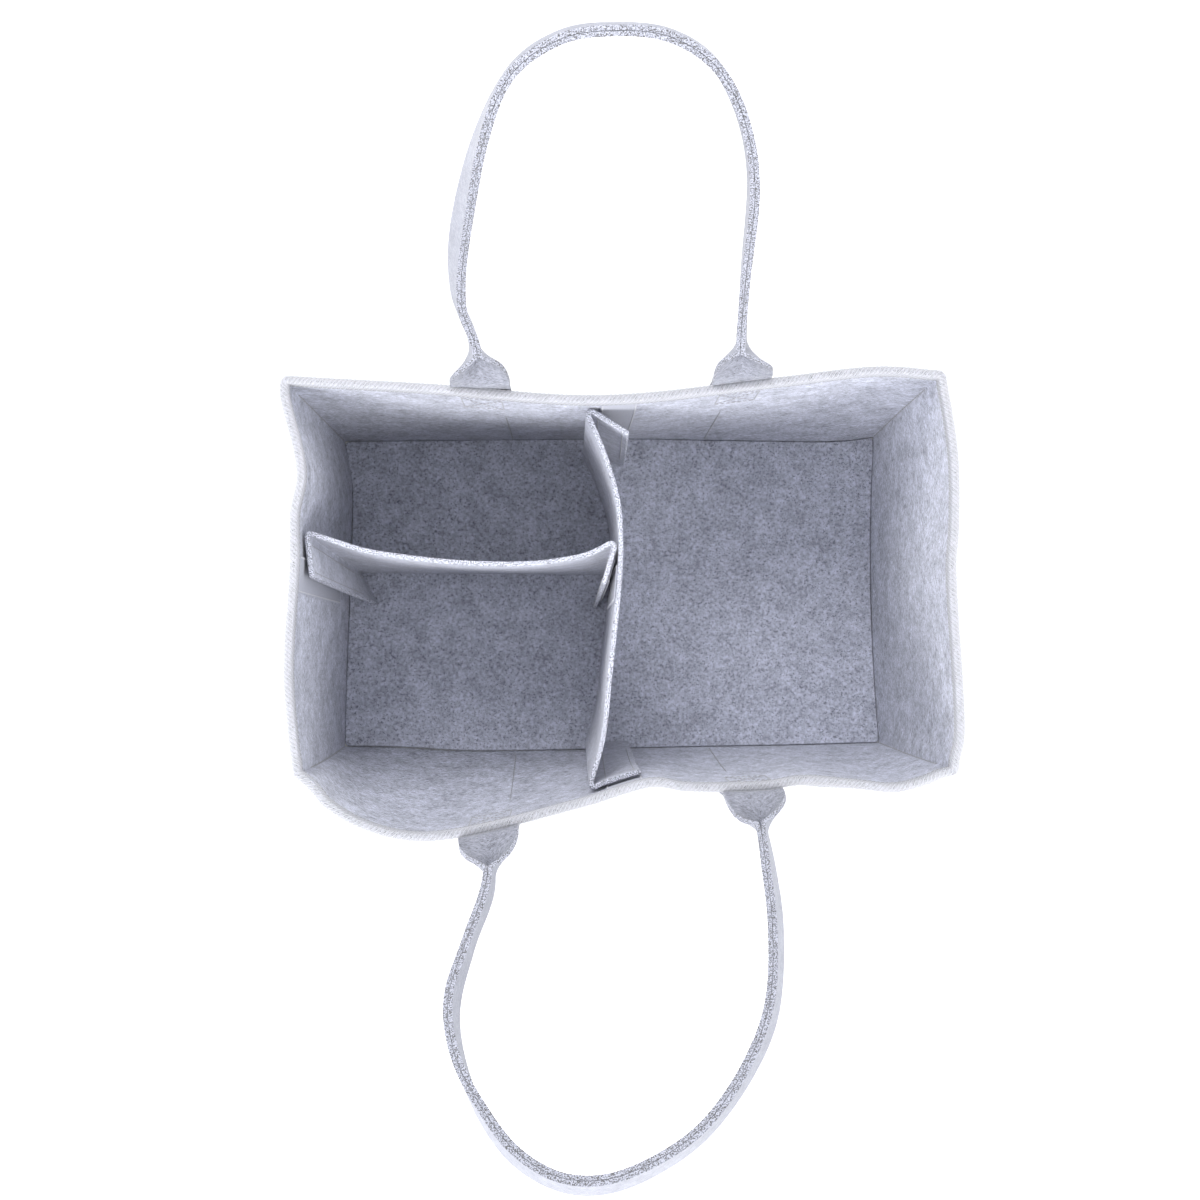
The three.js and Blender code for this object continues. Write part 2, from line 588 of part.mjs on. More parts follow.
const shortLeft = (z) => {
  const y = between(SHORT_LEFT, z);
  return point2(FOLD_EASE + between(SHORT_LEFT_SWAY, z) - clearInside(WALLS.left, SHORT_LEFT.high), y);
};
const shortRight = (z) => {
  const y = between(SHORT_RIGHT, z);
  return point2(crossX(y, z) - DIVIDER_FELT / 2 - 3 * CLEAR, y);
};
const flapEnd = (root, away) => point2(root.x + away, root.y - Math.sqrt(FLAP ** 2 - away ** 2));
const shortLeftFree = (z) => flapEnd(shortLeft(z), between(LEFT_FLAP_AWAY, z));
const shortRightFree = (z) => flapEnd(shortRight(z), -between(RIGHT_FLAP_AWAY, z));

function shortLine(z) {
  const [one, two] = [shortLeft(z), shortRight(z)];
  const run = steps(0, 1, 14).slice(1, -1).map((share) => one.clone().lerp(two, share)
    .add(point2(0, -between({ low: 0, high: 1 }, z) * wave(SHORT_BOW, share))));
  return [
    shortLeftFree(z), ...fold(shortLeftFree(z), one, run[0]), ...run,
    ...fold(run.at(-1), two, shortRightFree(z)), shortRightFree(z),
  ];
}
add('short_divider', standing(shortLine, DIVIDER_ROWS, DIVIDER_FELT / 2, -DIVIDER_FELT / 2), felt());

// Touch tape: loop strips on the walls and the cross divider, hook strips on the four flaps
const WALL_TAPE_ROWS = steps(TAPE_LOW, WALL_TAPE_HIGH, 3);
const loopStrip = (wall, middle) => patch(wall, middle - TAPE_WIDTH / 2, middle + TAPE_WIDTH / 2,
  WALL_TAPE_ROWS, () => FELT + CLEAR, () => FELT + CLEAR + TAPE);
const CROSS_TAPE_AT = CROSS_AT + HOOK_START + TAPE_WIDTH / 2;
add('back_wall_loop_strip', loopStrip(WALLS.back, CROSS_TAPE_AT), tape());
add('front_wall_loop_strip', loopStrip(WALLS.front, CROSS_TAPE_AT), tape());
add('left_wall_loop_strip', loopStrip(WALLS.left, SHORT_TAPE_AT), tape());

const onFace = DIVIDER_FELT / 2 + CLEAR;
const dividerTapeLine = (z) => steps(DIVIDER_TAPE_AT + TAPE_WIDTH / 2, DIVIDER_TAPE_AT - TAPE_WIDTH / 2, 5)
  .map((y) => point2(crossX(y, z), y));
add('divider_loop_strip', standing(dividerTapeLine, TAPE_ROWS, -onFace - TAPE, -onFace), tape());

const alongFlap = (root, free, start = HOOK_START) => [start, root.distanceTo(free) - HOOK_STOP].map(
  (run) => root.clone().add(free.clone().sub(root).setLength(run)));
const hook = (lineAt, sideways) => (sideways > 0
  ? standing(lineAt, TAPE_ROWS, onFace, onFace + TAPE)
  : standing(lineAt, TAPE_ROWS, -onFace - TAPE, -onFace));
add('cross_back_hook_strip',
  hook((z) => alongFlap(crossBackFold(z), crossBackFree(z), BACK_HOOK_START), 1), tape());
add('cross_front_hook_strip', hook((z) => steps(CROSS_AT + HOOK_START, CROSS_AT + FLAP - HOOK_STOP, 4)
  .map((a) => point2(a, crossFront(a, z))), -1), tape());
add('short_left_hook_strip', hook((z) => alongFlap(shortLeft(z), shortLeftFree(z)), -1), tape());
add('short_right_hook_strip',
  hook((z) => alongFlap(shortRight(z), shortRightFree(z), RIGHT_HOOK_START), 1), tape());

export default caddy;
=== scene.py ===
import math

import bmesh
import bpy
from mathutils import Matrix, Vector, noise


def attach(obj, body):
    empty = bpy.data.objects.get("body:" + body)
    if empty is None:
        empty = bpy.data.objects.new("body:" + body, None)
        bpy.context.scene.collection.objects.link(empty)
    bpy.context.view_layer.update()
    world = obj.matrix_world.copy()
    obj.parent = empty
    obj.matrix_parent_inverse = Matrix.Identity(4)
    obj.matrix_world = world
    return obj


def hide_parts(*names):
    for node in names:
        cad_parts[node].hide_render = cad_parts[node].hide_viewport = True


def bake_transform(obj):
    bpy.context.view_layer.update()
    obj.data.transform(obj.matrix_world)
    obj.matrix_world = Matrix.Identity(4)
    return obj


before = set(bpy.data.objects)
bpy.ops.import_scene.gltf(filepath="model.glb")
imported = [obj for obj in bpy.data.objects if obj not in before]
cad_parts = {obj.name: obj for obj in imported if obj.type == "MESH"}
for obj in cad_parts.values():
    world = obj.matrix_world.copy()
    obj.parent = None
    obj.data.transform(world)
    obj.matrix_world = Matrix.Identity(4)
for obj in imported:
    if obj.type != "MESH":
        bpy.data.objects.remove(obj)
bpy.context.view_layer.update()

# Base: one sheet of heather-grey felt, laid inside the feet of the walls and sewn to them.
# The felt is pressed from pale and dark fibres, so it is mottled all over.
MM = 0.001
LENGTH = 350
WIDTH = 210
HEIGHT = 175
FELT = 3.5
UP = Vector((0, 0, 1))


class Shade:
    """One socket of a finish, so that shader maths reads as arithmetic."""

    def __init__(self, finish, socket):
        self.finish = finish
        self.socket = socket

    def maths(self, operation, first, second):
        return self.finish.node("ShaderNodeMath", {"operation": operation}, {0: first, 1: second})

    def __add__(self, other):
        return self.maths("ADD", self, other)

    def __mul__(self, other):
        return self.maths("MULTIPLY", self, other)


class Finish:
    """A material under construction: its nodes, and the surface shader they feed."""

    def __init__(self, name):
        self.material = bpy.data.materials.new(name)
        self.material.use_nodes = True
        self.tree = self.material.node_tree
        self.surface = self.tree.nodes["Principled BSDF"]

    def node(self, kind, settings=None, inputs=None, output=0):
        made = self.tree.nodes.new(kind)
        for key, value in (settings or {}).items():
            if key == "stops":
                ramp = made.color_ramp.elements
                while len(ramp) < len(value):
                    ramp.new(0.5)
                for stop, (place, colour) in zip(ramp, value):
                    stop.position = place
                    stop.color = (*colour, 1)
            else:
                setattr(made, key, value)
        for key, value in (inputs or {}).items():
            self.feed(made.inputs[key], value)
        return Shade(self, made.outputs[output])

    def feed(self, socket, value):
        if isinstance(value, Shade):
            self.tree.links.new(value.socket, socket)
        else:
            socket.default_value = value

    def set(self, **values):
        for name, value in values.items():
            self.feed(self.surface.inputs[name.replace("_", " ").title()], value)

    def place(self):
        return self.node("ShaderNodeTexCoord", output="Object")

    def grain(self, scale, detail=3.0, roughness=0.6, squeeze=(1, 1, 1)):
        spot = self.node("ShaderNodeMapping", None, {"Vector": self.place(), "Scale": squeeze})
        return self.node("ShaderNodeTexNoise", None,
                         {"Vector": spot, "Scale": scale, "Detail": detail, "Roughness": roughness})

    def ramp(self, value, stops):
        return self.node("ShaderNodeValToRGB", {"stops": stops}, {0: value})

    # The colour sockets of a mix node come after those for its other kinds of data
    def mix(self, share, first, second):
        return self.node("ShaderNodeMix", {"data_type": "RGBA"},
                         {0: share, 6: first, 7: second}, output=2)

    def bump(self, height, strength, distance):
        self.feed(self.surface.inputs["Normal"], self.node(
            "ShaderNodeBump", None, {"Height": height, "Strength": strength, "Distance": distance}))


FELT_TINT = (0.757, 0.785, 0.928)
SPECK_TINT = (0.82, 0.8, 0.8)
CLOUDS = 85
MOTTLE = 380
FIBRES = 740
FUZZ = 1500
SPECKS = 1650
LYING = (1, 1, 2.2)
LYING_FLAT = (1, 1, 4.5)
FLECK_SHADE = 0.4


def grey(level, tint=FELT_TINT):
    return tuple(level * part for part in tint)


# Felt: broad clouds of paler and darker fibre, fine mottling, and dark fibres that lie flat
def felt_finish(name, dark, pale, flecks, mottle=MOTTLE):
    made = Finish(name)
    clouds = made.grain(CLOUDS)
    mottling = made.grain(mottle, 4.0, 0.65, LYING)
    fibre = made.grain(FIBRES, squeeze=LYING_FLAT)
    fleck = made.ramp(fibre, [(0.56, (0, 0, 0)), (0.65, (1, 1, 1))])
    tone = made.ramp(clouds * 0.3 + mottling * 0.7, [(0.35, grey(dark)), (0.64, grey(pale))])
    flecked = made.mix(fleck * flecks, tone, (*grey(dark * FLECK_SHADE), 1))
    made.set(base_color=flecked, roughness=0.92, sheen_weight=0.2, sheen_roughness=0.5)
    made.surface.inputs["Specular IOR Level"].default_value = 0.2
    fuzz = made.grain(FUZZ, 4.0, 0.75)
    made.bump(mottling * 0.5 + fuzz * 0.5, strength=0.5, distance=0.0009)
    return made.material


# Cut felt: the fibres stand on end, so the edge is peppered with dark and white specks
def cut_finish(name, dark, middle, pale):
    made = Finish(name)
    speck = made.grain(SPECKS, 2.0, 0.6)
    tone = made.ramp(speck, [(0.40, grey(dark, SPECK_TINT)), (0.48, grey(middle)), (0.57, grey(pale))])
    made.set(base_color=tone, roughness=0.95, sheen_weight=0.2)
    made.surface.inputs["Specular IOR Level"].default_value = 0.15
    made.bump(speck, strength=0.6, distance=0.001)
    return made.material


# A sheet of felt: a flat grid laid along the given lines of points, then given its thickness.
# Its finishes are one face, the other face and the cut edge; the borders of the edge stay pale.
def felt_sheet(name, lines, thickness, finishes, nap=0.7, border=0):
    rows, columns = len(lines) - 1, len(lines[0]) - 1
    bm = bmesh.new()
    bmesh.ops.create_grid(bm, x_segments=columns, y_segments=rows, size=0.5)
    for vert in bm.verts:
        i = round((vert.co.x + 0.5) * columns)
        j = round((vert.co.y + 0.5) * rows)
        vert.co = lines[j][i] * MM
    piece = finish_piece(name, bm, finishes)
    body = piece.modifiers.new("thickness", "SOLIDIFY")
    body.thickness = thickness * MM
    body.offset = 0
    body.use_even_offset = True
    body.material_offset = 1
    body.material_offset_rim = 2
    soften = piece.modifiers.new("soft_edge", "BEVEL")
    soften.width = nap * MM
    soften.segments = 2
    soften.limit_method = "ANGLE"
    soften.angle_limit = math.radians(50)
    soften.harden_normals = True
    soften.material = border
    return piece


def finish_piece(name, bm, finishes):
    mesh = bpy.data.meshes.new(name)
    for face in bm.faces:
        face.smooth = True
    bm.to_mesh(mesh)
    bm.free()
    for finish in finishes:
        mesh.materials.append(finish)
    piece = bpy.data.objects.new(name, mesh)
    bpy.context.collection.objects.link(piece)
    return piece


def spread(low, high, count):
    return [low + (high - low) * i / count for i in range(count + 1)]


floor_felt = felt_finish("floor_felt", 0.33, 0.75, flecks=0.7, mottle=480)
cut_felt = cut_finish("cut_felt_edge", 0.08, 0.34, 0.62)

BASE_EASE = 0.3
BASE_CORNER = 3
BASE_BORDER = 2
BASE_ROWS = 46
BASE_COLUMNS = 70
BASE_RIPPLE = 0.35
BASE_RIPPLE_SCALE = 0.02
# How far each foot line of the box stands out, from one end of the wall to the other
FOOT_BOW = {
    "back": [(-1, -0.6), (-0.2, -0.6), (0.12, -0.8), (0.35, -2), (0.64, -3.3), (0.8, -3.9),
             (0.91, -3.2), (1, -1.2)],
    "front": [(-1, -4.5), (-0.82, -3.9), (-0.71, -2.6), (-0.55, -0.7), (-0.2, -0.4), (0.33, -1.2),
              (0.62, -1.3), (0.94, -2), (1, -2)],
    "left": [(-1, 1), (-0.65, 0), (-0.03, -2.6), (0.46, -4.5), (0.71, -4.6), (0.9, -1.4), (1, 0)],
    "right": [(-1, 1.8), (-0.81, 0.6), (-0.3, -1.3), (0.19, -1.3), (0.69, 0.6), (0.87, 2), (1, 2.4)],
}


# A smooth curve through a few (place, height) points
def wave(points, place):
    last = len(points) - 1

    def slope(i):
        before, after = points[max(i - 1, 0)], points[min(i + 1, last)]
        return (after[1] - before[1]) / (after[0] - before[0])

    i = next((k for k in range(last) if points[k + 1][0] >= place), last - 1)
    (x0, y0), (x1, y1) = points[i], points[i + 1]
    span = x1 - x0
    t = min(max((place - x0) / span, 0), 1)
    return ((2 * t**3 - 3 * t**2 + 1) * y0 + (t**3 - 2 * t**2 + t) * span * slope(i)
            + (3 * t**2 - 2 * t**3) * y1 + (t**3 - t**2) * span * slope(i + 1))


def base_point(x, y, half_length, half_width):
    over = Vector((max(abs(x) - half_length + BASE_CORNER, 0),
                   max(abs(y) - half_width + BASE_CORNER, 0)))
    if over.x and over.y:
        over *= 1 - max(over) / over.length
        x -= math.copysign(over.x, x)
        y -= math.copysign(over.y, y)
    wide = wave(FOOT_BOW["right" if x > 0 else "left"], y / half_width) * x / half_length
    deep = wave(FOOT_BOW["back" if y > 0 else "front"], x / half_length) * y / half_width
    ripple = BASE_RIPPLE * noise.noise(Vector((x, y, 0)) * BASE_RIPPLE_SCALE)
    return Vector((x + wide, y + deep, FELT / 2 + ripple))


def base_lines():
    half_length = LENGTH / 2 - FELT - BASE_EASE
    half_width = WIDTH / 2 - FELT - BASE_EASE
    rows = spread(BASE_BORDER - half_width, half_width - BASE_BORDER, BASE_ROWS)
    rows = [-half_width, *rows, half_width]
    columns = spread(BASE_BORDER - half_length, half_length - BASE_BORDER, BASE_COLUMNS)
    columns = [-half_length, *columns, half_length]
    return [[base_point(x, y, half_length, half_width) for x in columns] for y in rows]


base = felt_sheet("felt_base", base_lines(), FELT - 2 * BASE_RIPPLE, [floor_felt, floor_felt, cut_felt])
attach(base, "caddy_body")
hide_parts("base_panel")

# Walls: four panels of the same felt, joined at the corners. They rise straight off the base
# and wave in and out at the rim, most of all at the front left, where the box has been squashed.
# How far each rim line of the box stands out, from one end of the wall to the other
RIM_SWELL = {
    "back": [(-1, 3), (-0.6, -1.6), (-0.05, -8.9), (0.5, 0), (0.8, 5.4), (1, 3)],
    "front": [(-1, 0), (-0.8, 25), (-0.57, 33), (-0.13, 17), (0.09, 6.4), (0.18, 8.8), (0.3, 9.5),
              (0.44, 9), (0.55, 6.4), (0.7, 8.8), (0.84, 11), (1, 3)],
    "left": [(-1, -2.2), (-0.48, 2.4), (0.1, -1), (0.33, -1), (0.55, -4.8), (0.93, 4), (1, 4)],
    "right": [(-1, 3.4), (-0.8, 7.1), (0, 4.6), (0.25, 6.8), (0.6, 7.2), (1, 2)],
}
CORNER = 3.9
CORNER_BLEND = 15
CORNER_ANGLES = (45, 54, 63, 72, 81)
NUDGE = 0.05
WALL_FOOT = 0.5
WALL_TOP = HEIGHT - 0.9
wall_felt = felt_finish("wall_felt", 0.23, 0.83, flecks=0.95)
# The outside of the walls is the same felt as the inside, painted darker: painted shade, holding down
# the brighter light that falls on the outside.
outside_felt_painted_darker = felt_finish("outside_felt_painted_darker", 0.17, 0.48, flecks=0.95)


def ease(t):
    t = min(max(t, 0), 1)
    return t * t * (3 - 2 * t)


# How far a wall stands out at a place and height: its foot line below, turning into its rim line
def swell(name, place, z):
    foot_line, rim_line = wave(FOOT_BOW[name], place), wave(RIM_SWELL[name], place)
    return foot_line + (rim_line - foot_line) * math.sin(math.pi / 2 * min(z / HEIGHT, 1))


class Wall:
    """One wall of the box: where it stands, and how far out it is at each place and height."""

    def __init__(self, name, along, out, half, across, ends, sign):
        self.name = name
        self.along = Vector(along)
        self.out = Vector(out)
        self.half = half
        self.across = across
        self.ends = ends
        self.sign = sign

    def depth(self, a, z):
        return self.across + swell(self.name, min(max(a / self.half, -1), 1), z)

    def reach(self, end, z):
        return self.half + swell(end, self.sign, z)

    def at(self, a, b, z):
        return self.along * a + self.out * b + UP * z

    # The outer face at one height, rounded into the corners where it meets its neighbours
    def outside(self, a, z):
        start, stop = -self.reach(self.ends[0], z), self.reach(self.ends[1], z)
        b = self.depth(a, z)
        for tip, edge in ((a - start, -self.half), (stop - a, self.half)):
            if tip < CORNER_BLEND:
                corner = self.depth(edge, z)
                b = corner + (self.depth(a, z) - corner) * ease(tip / CORNER_BLEND)
            if tip < CORNER:
                b -= CORNER - math.sqrt(CORNER**2 - (CORNER - tip) ** 2)
        return b

    # The line of the wall at one height, set in from its outer face and mitred at its ends
    def line(self, z, inset, columns):
        start, stop = -self.reach(self.ends[0], z), self.reach(self.ends[1], z)
        turn = [CORNER * (1 - math.cos(math.radians(angle))) for angle in CORNER_ANGLES]
        places = ([start + step for step in turn] + spread(start + CORNER, stop - CORNER, columns)
                  + [stop - step for step in reversed(turn)])
        points = []
        for a in places:
            slope = (self.outside(a + NUDGE, z) - self.outside(a - NUDGE, z)) / (2 * NUDGE)
            if a in (places[0], places[-1]):
                slope = 1 if a == places[0] else -1
            size = math.hypot(1, slope)
            points.append(self.at(a + inset * slope / size, self.outside(a, z) - inset / size, z))
        return points


WALLS = {
    "back": Wall("back", (1, 0, 0), (0, 1, 0), LENGTH / 2, WIDTH / 2, ("left", "right"), 1),
    "front": Wall("front", (1, 0, 0), (0, -1, 0), LENGTH / 2, WIDTH / 2, ("left", "right"), -1),
    "left": Wall("left", (0, 1, 0), (-1, 0, 0), WIDTH / 2, LENGTH / 2, ("front", "back"), -1),
    "right": Wall("right", (0, 1, 0), (1, 0, 0), WIDTH / 2, LENGTH / 2, ("front", "back"), 1),
}

for wall in WALLS.values():
    columns = 96 if wall.half > WIDTH / 2 else 60
    faces = [wall_felt, outside_felt_painted_darker] if wall.name in ("back", "left") else [outside_felt_painted_darker, wall_felt]
    lines = [wall.line(z, FELT / 2, columns) for z in spread(WALL_FOOT, WALL_TOP, 40)]
    panel = felt_sheet(f"{wall.name}_felt_wall", lines, FELT, [*faces, wall_felt])
    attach(panel, "caddy_body")
    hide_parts(f"{wall.name}_wall")
    2 * wall.half * MM

# Rim: an overlock machine has wrapped thread over the raw top edge of the walls. Slanting
# threads cross the edge, a chain of loops runs along its outside, and a needle line on each face.
THREAD = 0.34
THREAD_TINT = (0.78, 0.79, 0.86)
THREAD_PLY = 1700
RIM_PITCH = 2.4
RIM_BAND = 5.5
RIM_COLUMNS = 60


def thread_finish(name, pale, dark):
    made = Finish(name)
    ply = made.grain(THREAD_PLY, 2.0, 0.5)
    tone = made.ramp(ply, [(0.35, grey(dark, THREAD_TINT)), (0.6, grey(pale, THREAD_TINT))])
    made.set(base_color=tone, roughness=0.6, sheen_weight=0.4)
    made.bump(ply, strength=0.5, distance=0.0004)
    return made.material


white_thread = thread_finish("white_thread", 0.62, 0.53)
pale_thread = thread_finish("pale_thread", 0.53, 0.42)
# The needle thread is drawn darker than the thread: partly the thread itself, partly painted shade of
# the groove that the needle line presses into the felt.
needle_thread_and_groove_shade = thread_finish("needle_thread_and_groove_shade", 0.40, 0.30)
grey_thread = thread_finish("grey_thread", 0.30, 0.20)


# Rows of sewn thread: each path of points becomes one round thread
def sewing(name, paths, radius, finish):
    curve = bpy.data.curves.new(name, "CURVE")
    curve.dimensions = "3D"
    curve.bevel_depth = radius * MM
    curve.bevel_resolution = 1
    curve.use_fill_caps = True
    for path in paths:
        spline = curve.splines.new("POLY")
        spline.points.add(len(path) - 1)
        for spot, point in zip(spline.points, path):
            spot.co = (*(point * MM), 1)
    drawn = bpy.data.objects.new(f"{name}_line", curve)
    bpy.context.collection.objects.link(drawn)
    bpy.context.view_layer.update()
    settled = drawn.evaluated_get(bpy.context.evaluated_depsgraph_get())
    mesh = bpy.data.meshes.new_from_object(settled)
    bpy.data.objects.remove(drawn)
    mesh.name = name
    mesh.materials.clear()
    mesh.materials.append(finish)
    mesh.polygons.foreach_set("use_smooth", [True] * len(mesh.polygons))
    piece = bpy.data.objects.new(name, mesh)
    bpy.context.collection.objects.link(piece)
    return piece


class Walk:
    """A walk along a line of points, giving the place and the direction at each distance."""

    def __init__(self, points, closed=False):
        self.points = [*points, points[0]] if closed else list(points)
        self.runs = [0]
        for one, two in zip(self.points, self.points[1:]):
            self.runs.append(self.runs[-1] + (two - one).length)
        self.length = self.runs[-1]
        self.closed = closed

    def at(self, run):
        run = run % self.length if self.closed else min(max(run, 0), self.length)
        i = next((k for k in range(len(self.runs) - 1) if self.runs[k + 1] >= run), len(self.runs) - 2)
        span = max(self.runs[i + 1] - self.runs[i], 1e-9)
        return self.points[i].lerp(self.points[i + 1], (run - self.runs[i]) / span)

    def heading(self, run, reach=2):
        return (self.at(run + reach) - self.at(run - reach)).normalized()

    def steps(self, pitch):
        count = max(round(self.length / pitch), 1)
        return [self.length * k / count for k in range(count)], self.length / count


# Once round the box: a line along each wall in turn, joined up
def round_trip(line_of):
    trip = []
    for name, turned in (("back", False), ("right", True), ("front", True), ("left", False)):
        points = line_of(WALLS[name])
        trip += (points[::-1] if turned else points)[:-1]
    return trip


def arch(t):
    return math.sin(math.pi * t)


# One thread over the edge, as (outward, up) from the middle of the rim, and the run it slants along
OVER_EDGE = [(-1.9, -5.5), (-2.0, -3.6), (-1.95, -1.8), (-1.6, -0.5), (-0.7, 0.05), (0.7, 0.05),
             (1.6, -0.5), (1.95, -1.8), (2.0, -3.6), (1.9, -5.5)]
OVER_RUN = 8.5
CHAIN_OUT = 2.0
CHAIN_DROP = 1.8
CHAIN_LOOP = 0.4
CHAIN_THREAD = 0.38
NEEDLE_OUT = 1.95
NEEDLE_BOW = 0.3
NEEDLE_THREAD = 0.36
rim = Walk(round_trip(lambda wall: wall.line(HEIGHT, FELT / 2, RIM_COLUMNS)), closed=True)


def rim_spot(run, outward, rise):
    out = rim.heading(run).cross(UP) * -1
    return rim.at(run) + out * outward + UP * rise


def rim_stitches():
    runs, pitch = rim.steps(RIM_PITCH)
    over, under, chain, needle = [], [], [], []
    for run in runs:
        for rows, shift in ((over, 0), (under, pitch / 2)):
            rows.append([rim_spot(run + shift + OVER_RUN * k / (len(OVER_EDGE) - 1), d, z - THREAD)
                         for k, (d, z) in enumerate(OVER_EDGE)])
        loop = [(t, CHAIN_LOOP * arch(t)) for t in spread(0, 1, 5)]
        chain.append([rim_spot(run + pitch * t, CHAIN_OUT + rise, rise - CHAIN_DROP)
                      for t, rise in loop])
        for side in (-1, 1):
            bowed = [(t, NEEDLE_OUT + NEEDLE_BOW * arch(t)) for t in spread(0.06, 0.94, 4)]
            needle.append([rim_spot(run + pitch * t, side * out, -RIM_BAND) for t, out in bowed])
    return over, under, chain, needle


over, under, chain, needle = rim_stitches()
for name, paths, radius, finish in (("rim_overlock_threads", over, THREAD, white_thread),
                                    ("rim_overlock_under_threads", under, THREAD, pale_thread),
                                    ("rim_overlock_chain", chain, CHAIN_THREAD, white_thread),
                                    ("rim_needle_lines", needle, NEEDLE_THREAD, needle_thread_and_groove_shade)):
    row = sewing(name, paths, radius, finish)
    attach(row, "caddy_body")
    if name == "rim_overlock_threads":
        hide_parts("rim_overlock")

# Seams of the body: the same overlock thread joins the walls at the four corners and binds
# the walls to the base all round the foot.
SEAM_PITCH = 4.0
SEAM_BAND = 6
SEAM_THREAD = 0.42
# One stitch at the foot as (share of a step, up, stand-off), and the rows that tie the stitches
# together as (up, stand-off, bow)
FOOT_CROSSING = [(0, 6.2, 0.35), (0.4, 3.6, 0.6), (0.8, 1.2, 0.55)]
FOOT_ROWS = [(6.3, 0.3, 0.35), (1.0, 0.4, 0.4)]
foot = Walk(round_trip(lambda wall: wall.line(SEAM_BAND / 2, 0, RIM_COLUMNS)), closed=True)


def foot_spot(run, rise, proud):
    out = foot.heading(run).cross(UP) * -1
    point = foot.at(run)
    return Vector((point.x, point.y, 0)) + out * proud + UP * rise


def foot_stitches():
    runs, pitch = foot.steps(SEAM_PITCH)
    paths = []
    for run in runs:
        paths.append([foot_spot(run + share * pitch, rise, proud)
                      for share, rise, proud in FOOT_CROSSING])
        for rise, proud, bow in FOOT_ROWS:
            paths.append([foot_spot(run + pitch * t, rise, proud + bow * arch(t))
                          for t in spread(0.05, 0.95, 4)])
    return paths


base_stitches = sewing("base_seam_stitches", foot_stitches(), SEAM_THREAD, white_thread)
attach(base_stitches, "caddy_body")
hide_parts("base_seam")

STITCH = 3.2
STITCH_GAP = 1.1
STITCH_RISE = 0.45
STITCH_SUNK = 0.15


# A row of single stitches along a path: each rises out of the felt and goes back in
def running_stitch(path, lift, proud=STITCH_RISE, stitch=STITCH, gap=STITCH_GAP):
    walk = Walk(path)
    runs, pitch = walk.steps(stitch + gap)
    share = stitch / (stitch + gap)
    return [[walk.at(run + pitch * share * t) + lift * (proud * arch(t) - STITCH_SUNK)
             for t in spread(0, 1, 4)] for run in runs]


# One stitch over a corner as (distance from the corner, up, stand-off): its part on the long wall,
# and then its part on the short wall
LONG_CROSSING = [(7, 0, 0.2), (4, 0.6, 0.5), (1.5, 1.4, 0.5)]
SHORT_CROSSING = [(1.5, 2.0, 0.5), (4, 2.8, 0.5), (7, 3.4, 0.2)]
CORNER_ROW = 7.2
CORNER_ROW_OUT = 0.15
CORNER_ROW_BOW = 0.4
CORNER_FOOT = 9
CORNER_SPARE = 10
CORNER_THREAD = 0.4
# How high the painted crease shade runs up each corner, and the dashes of thread it is drawn in
CREASE_TOP = 0.82
CREASE_SHADE_DASHES = {"proud": 0.3, "stitch": 5.0, "gap": 0.4}


# One corner seam: threads that cross the rounded corner from wall to wall, all the way up
def corner_stitches(long_name, short_name):
    sides = ((WALLS[long_name], 1 if short_name == "right" else -1, LONG_CROSSING),
             (WALLS[short_name], 1 if long_name == "back" else -1, SHORT_CROSSING))

    def spot(wall, end, away, z, proud):
        edge = wall.reach(wall.ends[0 if end < 0 else 1], z)
        a = end * (edge - away)
        return wall.at(a, wall.outside(a, z) + proud, z)

    paths = []
    height = HEIGHT - RIM_BAND - CORNER_SPARE
    count = round(height / SEAM_PITCH)
    for k in range(count):
        z = CORNER_FOOT + height * k / count
        paths.append([spot(wall, end, away, z + rise, proud)
                      for wall, end, crossing in sides for away, rise, proud in crossing])
        for wall, end, _ in sides:
            bowed = [(t, CORNER_ROW_OUT + CORNER_ROW_BOW * arch(t)) for t in spread(0.08, 0.92, 4)]
            paths.append([spot(wall, end, CORNER_ROW, z + SEAM_PITCH * t, proud) for t, proud in bowed])
    return paths


# Dark grey thread up the inside of each corner, one row pulled down into the crease: painted shade, a
# dark line standing in for the shadow where the walls meet
def painted_crease_shade_line(long_name, short_name):
    end = -1 if short_name == "right" else 0
    inward = -(WALLS[long_name].out + WALLS[short_name].out).normalized()
    crease = [WALLS[long_name].line(z, FELT, 4)[end] for z in spread(FELT + 1, CREASE_TOP * HEIGHT, 40)]
    return running_stitch(crease, inward, **CREASE_SHADE_DASHES)


crease_shade_paths = []
for long_name in ("back", "front"):
    for short_name in ("left", "right"):
        crease_shade_paths += painted_crease_shade_line(long_name, short_name)
        seam = sewing(f"{long_name}_{short_name}_corner_stitches",
                      corner_stitches(long_name, short_name), CORNER_THREAD, white_thread)
        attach(seam, "caddy_body")
        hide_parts(f"{long_name}_{short_name}_corner_seam")
# The dark thread in the inside corners is painted shade along the creases.
crease_shade_rows = sewing("corner_crease_painted_shade", crease_shade_paths, SEAM_THREAD, grey_thread)
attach(crease_shade_rows, "caddy_body")

# Pockets: a thinner felt panel on each long side, open at the top. It is sewn down at its ends
# and through the wall in two upright rows, so it makes three pockets. Its mouth is overlocked too.
POCKET_HEIGHT = 115
POCKET_FELT = 2.5
POCKET_SEAM = 62
POCKET_EASE = 3.3
POCKET_STAND = 0.5
POCKET_HALF = LENGTH / 2 - 12
POCKET_END = POCKET_HALF - 3.5
POCKET_FOOT = 6.9
POCKET_TOP = POCKET_HEIGHT - 0.6
POCKET_ROWS = 26
POCKET_COLUMNS = 110
POCKET_THREAD = 0.36
